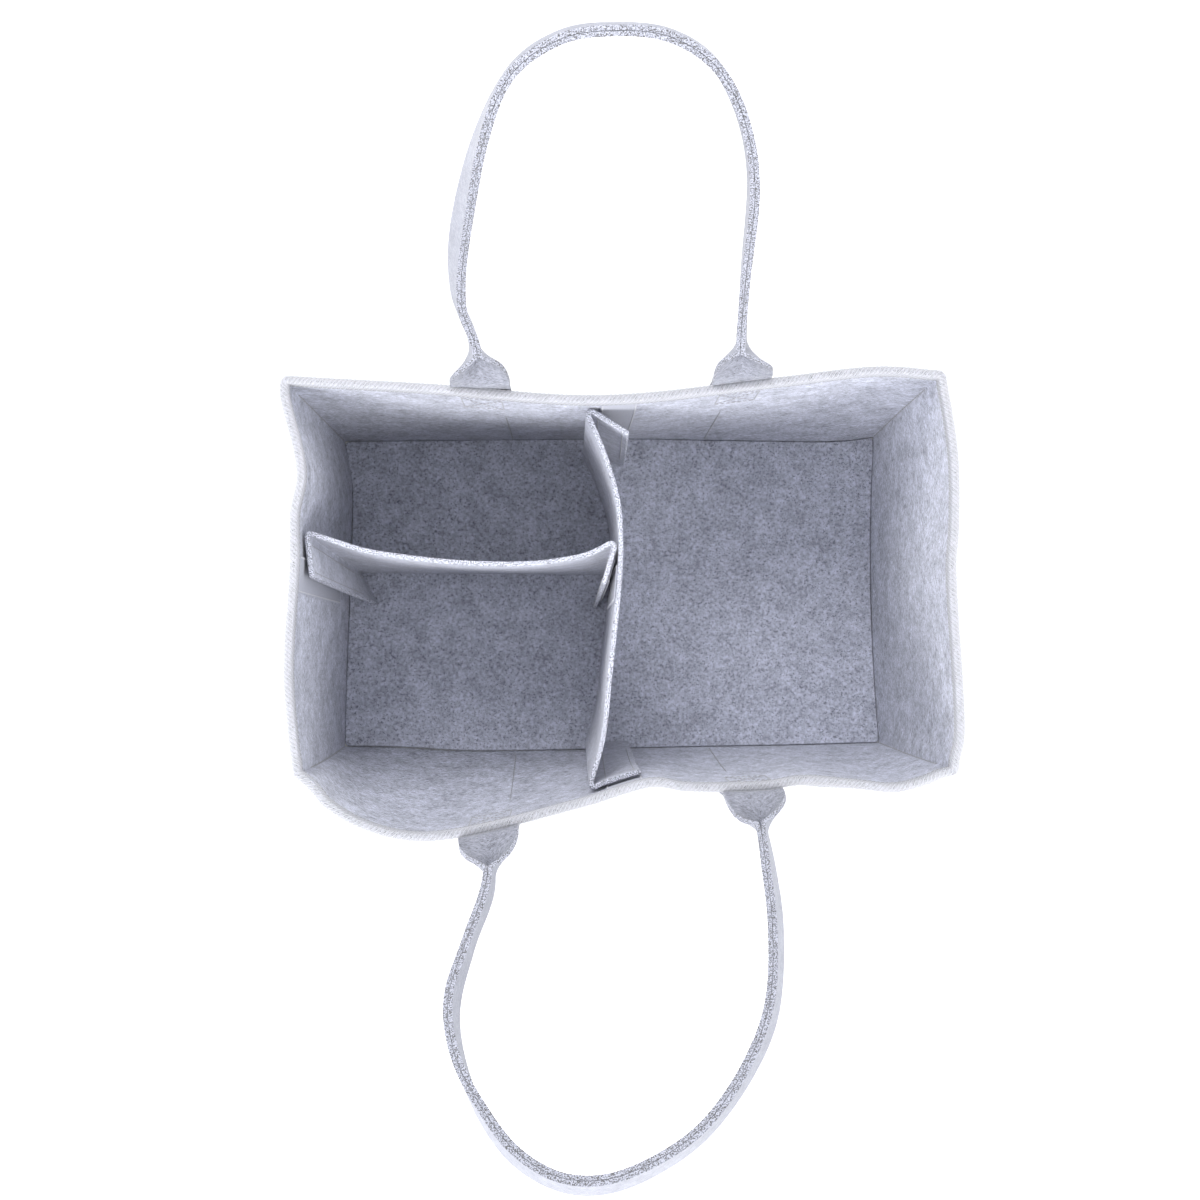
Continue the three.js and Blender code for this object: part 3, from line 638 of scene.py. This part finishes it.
# One thread over the mouth, as (outward, up) from the middle of its edge, and the share of a step
# that it slants along
HEM_EDGE = [(1.5, -4.0), (1.65, -1.6), (1.0, -0.2), (0, 0.05),
            (-1.0, -0.2), (-1.65, -1.6), (-1.5, -4.0)]
HEM_RUN = 0.9
HEM_OUT = 1.5
HEM_BAND = 4
HEM_BOW = 0.3
HEM_SUNK = 0.3


def pocket_gap(a, z):
    seams = [-POCKET_HALF, -POCKET_SEAM, POCKET_SEAM, POCKET_HALF]
    i = next((k for k in range(3) if seams[k + 1] >= a), 2)
    across = math.sin(math.pi * min(max((a - seams[i]) / (seams[i + 1] - seams[i]), 0), 1))
    rise = min(max((z - POCKET_FOOT) / (POCKET_HEIGHT - POCKET_FOOT), 0), 1)
    return POCKET_STAND + POCKET_EASE * across * math.sin(math.pi / 2 * rise)


# A place on a pocket panel, at a share of its thickness out from its inner face
def pocket_spot(wall, a, z, share=0.5):
    return wall.at(a, wall.depth(a, z) + pocket_gap(a, z) + POCKET_FELT * share, z)


for name in ("back", "front"):
    wall = WALLS[name]
    places = spread(-POCKET_HALF, POCKET_HALF, POCKET_COLUMNS)
    lines = [[pocket_spot(wall, a, z) for a in places]
             for z in spread(POCKET_FOOT, POCKET_TOP, POCKET_ROWS)]
    # The pocket panels take the outside felt, so they are painted darker too: painted shade.
    panel = felt_sheet(f"{name}_felt_pockets", lines, POCKET_FELT,
                       [outside_felt_painted_darker, outside_felt_painted_darker, cut_felt])
    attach(panel, "caddy_body")
    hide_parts(f"{name}_pocket_panel")

    mouth = Walk([pocket_spot(wall, a, POCKET_HEIGHT) for a in places])
    runs, pitch = mouth.steps(RIM_PITCH)
    hem = []
    for run in runs:
        slant = HEM_RUN * pitch / (len(HEM_EDGE) - 1)
        hem.append([mouth.at(run + slant * k) + wall.out * d + UP * (z - HEM_SUNK)
                    for k, (d, z) in enumerate(HEM_EDGE)])
        hem.append([mouth.at(run + pitch * t) + wall.out * (HEM_OUT + HEM_BOW * arch(t)) - UP * HEM_BAND
                    for t in spread(0.08, 0.92, 4)])
    edge = sewing(f"{name}_pocket_mouth_stitches", hem, CHAIN_THREAD, white_thread)
    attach(edge, "caddy_body")
    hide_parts(f"{name}_pocket_hem")

    rows = []
    levels = spread(POCKET_FOOT + 3, POCKET_HEIGHT - 6, 40)
    for seam in (-POCKET_END, -POCKET_SEAM, POCKET_SEAM, POCKET_END):
        rows += running_stitch([pocket_spot(wall, seam, z, share=1) for z in levels], wall.out)
        if abs(seam) == POCKET_SEAM:
            inner_face = [wall.at(seam, wall.depth(seam, z) - FELT, z) for z in levels]
            rows += running_stitch(inner_face, -wall.out)
    sewn = sewing(f"{name}_pocket_seam_stitches", rows, POCKET_THREAD, grey_thread)
    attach(sewn, "caddy_body")

# Handles: each is one long felt strip. Its ends are sewn flat to the outside of the wall; past
# the rim it closes up along its middle, so two cut edges lie side by side round the whole loop.
STRIP = 32
STRIP_FELT = 2.3
SLIT = 0.21
TAB_SPACING = 140
TAB_LENGTH = 45
TAB_EASE = 0.6
HINGE_RISE = 2
HINGE_BEND = 4
HUG_RUN = 20
FOLD_POWER = 0.62
FOLD_PLACES = (0.9, 1.8, 2.75, 3.8, 5.2, 7.5, 10, 13, STRIP / 2)
LOOP_FINE = 9
# Each loop: the middle of its two ends, its rest angle, the run over which it folds up, its route as
# (along the wall, away from it), and its roll in degrees at shares of the route
HANDLES = {
    "back": {
        "middle": -3,
        "tilt": 50,
        "fold_run": 25,
        "route": [(-73, 34), (-79, 58), (-77, 94), (-64, 139), (-45, 174.5), (-23, 190), (0, 193),
                  (24, 190), (44, 177), (58.5, 151), (66, 118), (66.7, 70), (68, 30)],
        "roll": [(0, 4), (0.06, 12), (0.13, 16), (0.2, 23), (0.26, 19), (0.33, 4), (0.4, -13),
                 (0.52, -21), (0.62, -11), (0.72, -2), (0.85, 6), (0.95, 9), (1, 0)],
    },
    "front": {
        "middle": -1,
        "tilt": 34,
        "fold_run": 23.5,
        "route": [(-72.5, 32), (-85.2, 61), (-95.2, 95), (-91, 131), (-77.5, 161), (-57.5, 179),
                  (-35, 184.8), (-10, 179.8), (15, 167.2), (39.5, 144), (57, 117), (67.7, 78), (71, 43)],
        "roll": [(0, 0), (0.07, 0), (0.12, -3), (0.16, 0), (0.2, 6), (0.27, 5), (0.34, -6), (0.45, -2),
                 (0.6, 0), (0.75, -11), (0.88, -17), (0.96, -8), (1, 0)],
    },
}


class Handle:
    """One handle strip: the line it hinges on, its run from end to end, and its fold."""

    def __init__(self, name):
        self.name = name
        self.wall = WALLS[name]
        facts = HANDLES[name]
        self.roll = facts["roll"]
        self.fold_run = facts["fold_run"]
        self.tilt = math.radians(facts["tilt"])
        self.ends = [facts["middle"] + side * TAB_SPACING / 2 for side in (-1, 1)]
        rough = self.line_through(*[self.on_rim(a) for a in self.ends])
        self.axis, self.out = self.line_through(
            *[self.on_rim(a) + rough[1] * self.standoff(a, rough[1]) for a in self.ends])
        roots = [self.seat(a, HEIGHT + HINGE_RISE) for a in self.ends]
        self.centre = (roots[0] + roots[1]) / 2
        self.span = (roots[1] - roots[0]).length / 2
        self.lay_out(facts["route"])

    def on_rim(self, a):
        return self.wall.at(a, self.wall.depth(a, HEIGHT), 0)

    def line_through(self, one, two):
        axis = (two - one).normalized()
        return axis, axis.cross(UP) * (-1 if self.name == "back" else 1)

    def standoff(self, a, out):
        steps = spread(-STRIP / 2, STRIP / 2, 8)
        return TAB_EASE + max((self.on_rim(a + step) - self.on_rim(a)).dot(out) for step in steps)

    # How far the strip comes in off its flat line to lie against the curved wall
    def hug(self, a, step):
        bulge = (self.on_rim(a + step) - self.on_rim(a)).dot(self.out)
        return self.out * (bulge + TAB_EASE - self.standoff(a, self.out))

    def seat(self, a, z):
        proud = self.standoff(a, self.out) + STRIP_FELT / 2
        return self.wall.at(a, self.wall.depth(a, z), z) + self.out * proud

    def away(self, tilt):
        return self.out * math.cos(tilt) + UP * math.sin(tilt)

    def inside(self, tilt):
        return UP * math.cos(tilt) - self.out * math.sin(tilt)

    # The strip's middle line: up one tab, over the rim, round the loop and down the other tab
    def lay_out(self, route):
        hinge_z = HEIGHT + HINGE_RISE
        loop = [self.centre + self.axis * a + self.away(self.tilt) * p
                for a, p in [(-self.span, HINGE_BEND), *route, (self.span, HINGE_BEND)]]
        first = self.centre - self.axis * self.span
        last = self.centre + self.axis * self.span
        drawn = smooth_line([first, *loop, last])

        def tab(a):
            levels = spread(hinge_z - TAB_LENGTH, hinge_z - HINGE_BEND, 9)
            return [(self.seat(a, z), math.pi / 2) for z in levels]

        def bend(root):
            made = []
            for t in spread(0, 1, 8)[1:-1]:
                tilt = math.pi / 2 + (self.tilt - math.pi / 2) * t
                one, two = root - UP * HINGE_BEND, root + self.away(self.tilt) * HINGE_BEND
                made.append((one * (1 - t) ** 2 + root * 2 * t * (1 - t) + two * t * t, tilt))
            return made

        self.stations = tab(self.ends[0]) + bend(first)
        self.stations += [(point, self.tilt) for point in drawn]
        self.stations += bend(last)[::-1] + tab(self.ends[1])[::-1]
        self.walk = Walk([point for point, _ in self.stations])

    # How far past the sewn tab a place on the strip is, measured from its nearer end
    def past_tab(self, run):
        return min(run, self.walk.length - run) - TAB_LENGTH

    # How far each half of the strip is folded up: not at all on the tab, a right angle on the loop
    def fold(self, run):
        share = min(max(self.past_tab(run) / self.fold_run, 0), 1)
        return math.acos((1 - share**2) ** FOLD_POWER)

    # The strip's section, as (across, up) from its middle line
    def section(self, turn):
        radius = (STRIP_FELT + SLIT) / 2
        points = []
        for across in (*[-place for place in reversed(FOLD_PLACES)], 0, *FOLD_PLACES):
            reach = abs(across)
            bent = min(reach / radius, turn)
            rest = reach - radius * bent
            x = radius * math.sin(bent) + rest * math.cos(turn)
            y = radius * (1 - math.cos(bent)) + rest * math.sin(turn)
            points.append((math.copysign(x, across), y))
        return points

    def lines(self):
        rows = []
        for i, (point, tilt) in enumerate(self.stations):
            run = self.walk.runs[i]
            before = self.stations[max(i - 1, 0)][0]
            after = self.stations[min(i + 1, len(self.stations) - 1)][0]
            heading = (after - before).normalized()
            across = heading.cross(self.inside(tilt)).normalized()
            edge = across.cross(heading).normalized()
            share = (run - TAB_LENGTH) / (self.walk.length - 2 * TAB_LENGTH)
            turn = Matrix.Rotation(math.radians(wave(self.roll, min(max(share, 0), 1))), 3, heading)
            across, edge = turn @ across, turn @ edge
            close = 1 - ease(self.past_tab(run) / HUG_RUN)
            a = self.ends[0] if share < 0.5 else self.ends[1]
            rows.append([point + across * x + edge * y + self.hug(a, across.dot(self.axis) * x) * close
                         for x, y in self.section(self.fold(run))])
        return rows


# A smooth line through a few points, close enough together to look curved
def smooth_line(points):
    drawn = []
    for i in range(1, len(points) - 2):
        before, one, two, after = points[i - 1:i + 3]
        for t in spread(0, 1, LOOP_FINE)[:-1]:
            drawn.append(0.5 * (2 * one + (two - before) * t
                                + (2 * before - 5 * one + 4 * two - after) * t * t
                                + (3 * one - before - 3 * two + after) * t**3))
    return [*drawn, points[-2]]


TACK_WIDTH = 22
TACK_HEIGHT = 26
TACK_MIDDLE = (HEIGHT + HINGE_RISE - TAB_LENGTH + HEIGHT - RIM_BAND) / 2
TACK_STITCH = {"stitch": 2.4, "gap": 0.9}
TACK_CORNERS = [(-1, -1), (1, -1), (1, 1), (-1, 1), (-1, -1), (1, 1)]
TACK_RUNS = [*zip(TACK_CORNERS, TACK_CORNERS[1:]), ((-1, 1), (1, -1))]
handle_felt = felt_finish("handle_felt", 0.27, 0.39, flecks=0.3)
handle_cut = cut_finish("handle_cut_edge", 0.11, 0.27, 0.52)
handle_inside = felt_finish("handle_inside_felt", 0.20, 0.44, flecks=0.9)

for name in ("back", "front"):
    handle = Handle(name)
    strip = felt_sheet(f"{name}_felt_handle", handle.lines(), STRIP_FELT,
                       [handle_inside, handle_felt, handle_cut], nap=0.45, border=1)
    hinge_point = handle.centre * MM
    hinge_point - UP * 0.006
    hinge_point + UP * 0.010
    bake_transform(strip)
    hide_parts(f"{name}_handle", f"{name}_left_handle_tab", f"{name}_right_handle_tab")

    for side, a in zip(("left", "right"), handle.ends):
        def outer(x, y):
            z = TACK_MIDDLE + y * TACK_HEIGHT / 2
            step = x * TACK_WIDTH / 2
            face = handle.seat(a, z) + handle.out * (STRIP_FELT / 2)
            return face + handle.axis * step + handle.hug(a, step)

        def inner(x, y):
            z = TACK_MIDDLE + y * TACK_HEIGHT / 2
            spot = a + x * TACK_WIDTH / 2
            return handle.wall.at(spot, handle.wall.depth(spot, z) - FELT, z)

        stitches = []
        for face, lift in ((outer, handle.out), (inner, -handle.wall.out)):
            for (x0, y0), (x1, y1) in TACK_RUNS:
                path = [face(x0 + (x1 - x0) * t, y0 + (y1 - y0) * t) for t in spread(0, 1, 8)]
                stitches += running_stitch(path, lift, **TACK_STITCH)
        tack = sewing(f"{name}_{side}_handle_stitches", stitches, NEEDLE_THREAD, needle_thread_and_groove_shade)
        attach(tack, "caddy_body")
        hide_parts(f"{name}_{side}_handle_tack")

# Dividers: two loose sheets of felt with raw cut edges. Each end is folded over into a flap
# that carries touch tape. Both sheets are bowed, and the flaps spring away from the walls.
DIVIDER_TOP = 160
DIVIDER_FOOT = FELT + 0.3
DIVIDER_FELT = 2.7
FLAP = 25
FOLD_ROUND = 1.9
TAPE = 0.8
TAPE_ROOM = 0.3
TAPE_STACK = 2 * (TAPE_ROOM + TAPE) + TAPE_ROOM + DIVIDER_FELT / 2
WALL_ROOM = 0.6
CROSS_AT = -14.5
CROSS_PRESS = 1.7
BACK_FLAP = 28.5
FRONT_PRESS = 2
FRONT_FLAP_START = 4
LEFT_PRESS = 1.2
RIGHT_ROOM = 0.9
# Where the folds and flaps stand at the foot of a divider and at its top
BACK_FOLD_IN = (2.1, 0)
BACK_FLAP_ANGLE = (16, 33)
LEFT_FOLD_IN = (4.9, 0)
LEFT_FOLD_BACK = (16, 26.5)
LEFT_FLAP_OPEN = (12.5, 2.9)
RIGHT_FOLD_BACK = (13, 20.5)
RIGHT_FLAP_OPEN = (9.5, 7.2)
# How far each divider bows to one side, from its first fold to its second
CROSS_BOW = [(0, -3), (0.123, 7.3), (0.251, 14.6), (0.36, 16), (0.463, 15), (0.576, 12.5),
             (0.724, 8.8), (0.872, 5.1), (1, -2.3)]
SHORT_BOW = [(0, 0), (0.09, 4.6), (0.18, 9), (0.27, 11.4), (0.45, 14.2), (0.6, 14.9), (0.73, 14),
             (0.82, 11.8), (0.91, 8.1), (1, 0)]


def clear_inside(wall, a):
    return min(wall.depth(a, 0), wall.depth(a, HEIGHT)) - FELT - WALL_ROOM


def between(ends, z):
    low, high = ends
    return low + (high - low) * (z - DIVIDER_FOOT) / (DIVIDER_TOP - DIVIDER_FOOT)


CROSS_BACK = clear_inside(WALLS["back"], CROSS_AT) + CROSS_PRESS


def cross_front(a, z):
    return -(WALLS["front"].depth(a, z) - FELT) + TAPE_STACK


def cross_x(y, z):
    share = (CROSS_BACK - y) / (CROSS_BACK - cross_front(CROSS_AT, z))
    return CROSS_AT + wave(CROSS_BOW, min(max(share, 0), 1))


# A rounded fold in place of a sharp corner
def folded(before, corner, after):
    back, ahead = (before - corner).normalized(), (after - corner).normalized()
    half = back.angle(ahead) / 2
    middle = corner + (back + ahead).normalized() * FOLD_ROUND / math.sin(half)
    arm = corner + back * FOLD_ROUND / math.tan(half) - middle
    turn = -math.copysign(math.pi - 2 * half, back.cross(ahead).z)
    return [middle + Matrix.Rotation(angle, 3, "Z") @ arm for angle in spread(0, turn, 8)]


def flat_point(x, y):
    return Vector((x, y, 0))


def cross_back_fold(z):
    return flat_point(CROSS_AT + CROSS_BOW[0][1], CROSS_BACK - between(BACK_FOLD_IN, z))


def cross_back_free(z):
    angle = math.radians(between(BACK_FLAP_ANGLE, z))
    return cross_back_fold(z) + BACK_FLAP * flat_point(math.cos(angle), -math.sin(angle))


def cross_front_fold(z):
    return flat_point(CROSS_AT + CROSS_BOW[-1][1], cross_front(CROSS_AT, z) - FRONT_PRESS)


# The cross divider at one height: its back flap, its bowed run and the flap along the front wall
def cross_line(z):
    places = spread(CROSS_AT + FRONT_FLAP_START, CROSS_AT + FLAP, 7)
    flap = [flat_point(a, cross_front(a, z)) for a in places]
    run = [flat_point(cross_x(y, z), y) for y in spread(CROSS_BACK, cross_front_fold(z).y, 40)][3:-1]
    free = cross_back_free(z)
    back_fold = folded(free, cross_back_fold(z), run[0])
    front_fold = folded(run[-1], cross_front_fold(z), flap[0])
    first = [free.lerp(back_fold[0], t) for t in spread(0, 1, 7)[:-1]]
    return [point + UP * z for point in first + back_fold + run + front_fold + flap]


def short_left(z):
    x = -clear_inside(WALLS["left"], LEFT_FOLD_BACK[1]) - LEFT_PRESS + between(LEFT_FOLD_IN, z)
    return flat_point(x, between(LEFT_FOLD_BACK, z))


def short_right(z):
    y = between(RIGHT_FOLD_BACK, z)
    return flat_point(cross_x(y, z) - DIVIDER_FELT / 2 - RIGHT_ROOM, y)


def flap_end(root, away):
    return root + flat_point(away, -math.sqrt(FLAP**2 - away**2))


def short_left_free(z):
    return flap_end(short_left(z), between(LEFT_FLAP_OPEN, z))


def short_right_free(z):
    return flap_end(short_right(z), -between(RIGHT_FLAP_OPEN, z))


# The short divider at one height: straight at its foot, and bowed more and more towards its top
def short_line(z):
    one, two = short_left(z), short_right(z)
    bowed = between((0, 1), z)
    run = [one.lerp(two, t) - flat_point(0, bowed * wave(SHORT_BOW, t)) for t in spread(0, 1, 40)][2:-2]
    left, right = short_left_free(z), short_right_free(z)
    left_fold, right_fold = folded(left, one, run[0]), folded(run[-1], two, right)
    line = [left.lerp(left_fold[0], t) for t in spread(0, 1, 6)[:-1]] + left_fold + run + right_fold
    line += [right_fold[-1].lerp(right, t) for t in spread(0, 1, 6)[1:]]
    return [point + UP * z for point in line]


divider_felt = felt_finish("divider_felt", 0.28, 0.70, flecks=0.7)
divider_cut = cut_finish("divider_cut_edge", 0.05, 0.36, 0.76)
divider_levels = spread(DIVIDER_FOOT, DIVIDER_TOP, 30)
cross_divider = felt_sheet("cross_felt_divider", [cross_line(z) for z in divider_levels], DIVIDER_FELT,
                           [divider_felt, divider_felt, divider_cut], border=2)
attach(cross_divider, "cross_divider")
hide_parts("cross_divider")
Walk(cross_line(DIVIDER_TOP)).length * MM

short_divider = felt_sheet("short_felt_divider", [short_line(z) for z in divider_levels], DIVIDER_FELT,
                           [divider_felt, divider_felt, divider_cut], border=2)
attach(short_divider, "short_divider")
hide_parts("short_divider")
Walk(short_line(DIVIDER_TOP)).length * MM

# Touch tape: brushed loop tape on the walls and the cross divider, hook tape on the four flaps,
# all sewn on round the edge.
TAPE_LOW = 40
TAPE_HIGH = 157
WALL_TAPE_HIGH = 169.5
TAPE_WIDTH = 20
TAPE_LIFT = 0.1
TAPE_SOFT = 0.2
TAPE_THREAD = 0.3
TAPE_STITCH = {"proud": 0.3, "stitch": 2.2, "gap": 0.9}
HOOK_START = 6
HOOK_STOP = 2
BACK_HOOK_START = 8.5
RIGHT_HOOK_START = 10


def tape_finish(name, dark, pale, pile):
    made = Finish(name)
    loops = made.grain(pile, 2.0, 0.5)
    tone = made.ramp(loops, [(0.35, grey(dark)), (0.62, grey(pale))])
    made.set(base_color=tone, roughness=0.85, sheen_weight=0.2)
    made.bump(loops, strength=0.6, distance=0.0008)
    return made.material


loop_tape = tape_finish("loop_tape", 0.40, 0.51, 2200)
hook_tape = tape_finish("hook_tape", 0.28, 0.38, 3000)


# One strip of tape: lines of points on the face that carries it, lifted off by half its thickness.
# Its stitches show on the tape, and on the far side of a flap where they go through it.
def tape_strip(name, node, body, line_at, lift_at, finish, top=TAPE_HIGH, through=0):
    levels = spread(TAPE_LOW, top, 16)
    lines = [[point + UP * z for point in line_at(z)] for z in levels]
    middle = [[point + lift_at(z) * (TAPE_LIFT + TAPE / 2) for point in line]
              for line, z in zip(lines, levels)]
    strip = felt_sheet(name, middle, TAPE - TAPE_SOFT, [finish, finish, finish], nap=TAPE_SOFT)
    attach(strip, body)
    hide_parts(node)
    width = (lines[0][-1] - lines[0][0]).length
    front, back = [], []
    for end, near in ((0, 1), (-1, -2)):
        edge = [line[end].lerp(line[near], 0.5) for line in lines]
        over = [point + lift_at(z) * (TAPE_LIFT / 2 + TAPE) for point, z in zip(edge, levels)]
        under = [point - lift_at(z) * through for point, z in zip(edge, levels)]
        front += running_stitch(over, lift_at(top), **TAPE_STITCH)
        back += running_stitch(under, -lift_at(top), **TAPE_STITCH)
    for row_name, row, thread in ((f"{name}_stitches", front, white_thread),
                                  (f"{name}_back_stitches", back, grey_thread)):
        if row is front or through:
            sewn = sewing(row_name, row, TAPE_THREAD, thread)
            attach(sewn, body)


CROSS_TAPE_AT = CROSS_AT + HOOK_START + TAPE_WIDTH / 2
SHORT_TAPE_AT = 3
DIVIDER_TAPE_AT = -3

for name, middle in (("back", CROSS_TAPE_AT), ("front", CROSS_TAPE_AT), ("left", SHORT_TAPE_AT)):
    wall = WALLS[name]

    def on_wall(z):
        return [wall.at(a, wall.depth(a, z) - FELT, 0)
                for a in spread(middle - TAPE_WIDTH / 2, middle + TAPE_WIDTH / 2, 10)]

    tape_strip(f"{name}_loop_tape", f"{name}_wall_loop_strip", "caddy_body",
               on_wall, lambda z: -wall.out, loop_tape, WALL_TAPE_HIGH)


def on_cross(z):
    return [flat_point(cross_x(y, z) - DIVIDER_FELT / 2, y)
            for y in spread(DIVIDER_TAPE_AT + TAPE_WIDTH / 2, DIVIDER_TAPE_AT - TAPE_WIDTH / 2, 10)]


tape_strip("divider_loop_tape", "divider_loop_strip", "cross_divider", on_cross,
           lambda z: flat_point(-1, 0), loop_tape)


def left_of(one, two):
    run = (two - one).normalized()
    return flat_point(-run.y, run.x)


# A flap's outer face, from a little past its fold to a little short of its free edge
def on_flap(root_at, free_at, side, start):
    def line(z):
        root, free = root_at(z), free_at(z)
        run = (free - root).normalized()
        face = left_of(root, free) * side * DIVIDER_FELT / 2
        return [root + run * step + face for step in spread(start, (free - root).length - HOOK_STOP, 8)]

    def lift(z):
        return left_of(root_at(z), free_at(z)) * side

    return line, lift


HOOKS = [
    ("cross_back", cross_divider, cross_back_fold, cross_back_free, 1, BACK_HOOK_START),
    ("cross_front", cross_divider, lambda z: flat_point(CROSS_AT, cross_front(CROSS_AT, z)),
     lambda z: flat_point(CROSS_AT + FLAP, cross_front(CROSS_AT + FLAP, z)), -1, HOOK_START),
    ("short_left", short_divider, short_left, short_left_free, -1, HOOK_START),
    ("short_right", short_divider, short_right, short_right_free, 1, RIGHT_HOOK_START),
]
for name, divider, root_at, free_at, side, start in HOOKS:
    line, lift = on_flap(root_at, free_at, side, start)
    body = "cross_divider" if divider is cross_divider else "short_divider"
    tape_strip(f"{name}_hook_tape", f"{name}_hook_strip", body, line, lift, hook_tape,
               through=DIVIDER_FELT)

# Stage: a plain white floor, an even white sky with three soft lamps, and the camera above the
# box, looking almost straight down. The photo's side and the focal length are in its pixels.
CAMERA_AT = (-0.02747, -0.05052, 0.94263)
TILT, ROLL, YAW = (math.radians(angle) for angle in (2.8, 1.26, -0.69))
SENSOR = 36
PHOTO_SIDE = 1200
FOCAL_LENGTH = 1450
FLOOR_REACH = 4
FLOOR_DROP = 0.0004
HORIZON_GLOW = 0.5
FULL_SKY_AT = 0.45
SKY_STRENGTH = 1.38
LAMP_SIZE = 0.9
LAMPS = [("front_left_box", (-0.95, -1.25, 0.95), 35), ("back_box", (-0.35, 1.1, 1.4), 24),
         ("front_right_box", (1.15, -0.8, 1.0), 19)]


def look_axes():
    forward = Vector((0, math.sin(TILT), -math.cos(TILT)))
    upward = Vector((0, math.cos(TILT), math.sin(TILT)))
    right = Vector((1, 0, 0))
    ahead = forward * math.cos(ROLL) + right * math.sin(ROLL)
    aside = right * math.cos(ROLL) - forward * math.sin(ROLL)
    return (aside * math.cos(YAW) + upward * math.sin(YAW),
            upward * math.cos(YAW) - aside * math.sin(YAW), ahead)


right, upward, ahead = look_axes()
lens = bpy.data.cameras.new("photo_camera")
lens.sensor_width = SENSOR
lens.lens = SENSOR * FOCAL_LENGTH / PHOTO_SIDE
camera = bpy.data.objects.new("photo_camera", lens)
bpy.context.collection.objects.link(camera)
facing = Matrix((right, upward, -ahead)).transposed().to_4x4()
camera.matrix_world = Matrix.Translation(CAMERA_AT) @ facing
bpy.context.scene.camera = camera

bm = bmesh.new()
bmesh.ops.create_grid(bm, x_segments=1, y_segments=1, size=FLOOR_REACH)
bmesh.ops.translate(bm, verts=bm.verts, vec=(0, 0, -FLOOR_DROP))
paper = Finish("white_floor")
paper.set(base_color=(0.8, 0.8, 0.8, 1), roughness=0.9)
floor = finish_piece("floor", bm, [paper.material])

sky = bpy.data.worlds.new("light_tent")
sky.use_nodes = True
tent = sky.node_tree
height = tent.nodes.new("ShaderNodeSeparateXYZ")
tent.links.new(tent.nodes.new("ShaderNodeTexCoord").outputs["Generated"], height.inputs[0])
glow = tent.nodes.new("ShaderNodeValToRGB")
glow.color_ramp.elements[0].color = (HORIZON_GLOW, HORIZON_GLOW, HORIZON_GLOW, 1)
glow.color_ramp.elements[1].position = FULL_SKY_AT
glow.color_ramp.elements[1].color = (1, 1, 1, 1)
tent.links.new(height.outputs["Z"], glow.inputs[0])
tent.links.new(glow.outputs[0], tent.nodes["Background"].inputs["Color"])
tent.nodes["Background"].inputs["Strength"].default_value = SKY_STRENGTH
bpy.context.scene.world = sky
for name, place, power in LAMPS:
    lamp = bpy.data.lights.new(name, "AREA")
    lamp.energy = power
    lamp.size = LAMP_SIZE
    soft_box = bpy.data.objects.new(name, lamp)
    soft_box.location = place
    soft_box.rotation_euler = (-soft_box.location).to_track_quat("-Z", "Y").to_euler()
    bpy.context.collection.objects.link(soft_box)
bpy.context.scene.view_settings.view_transform = "Standard"
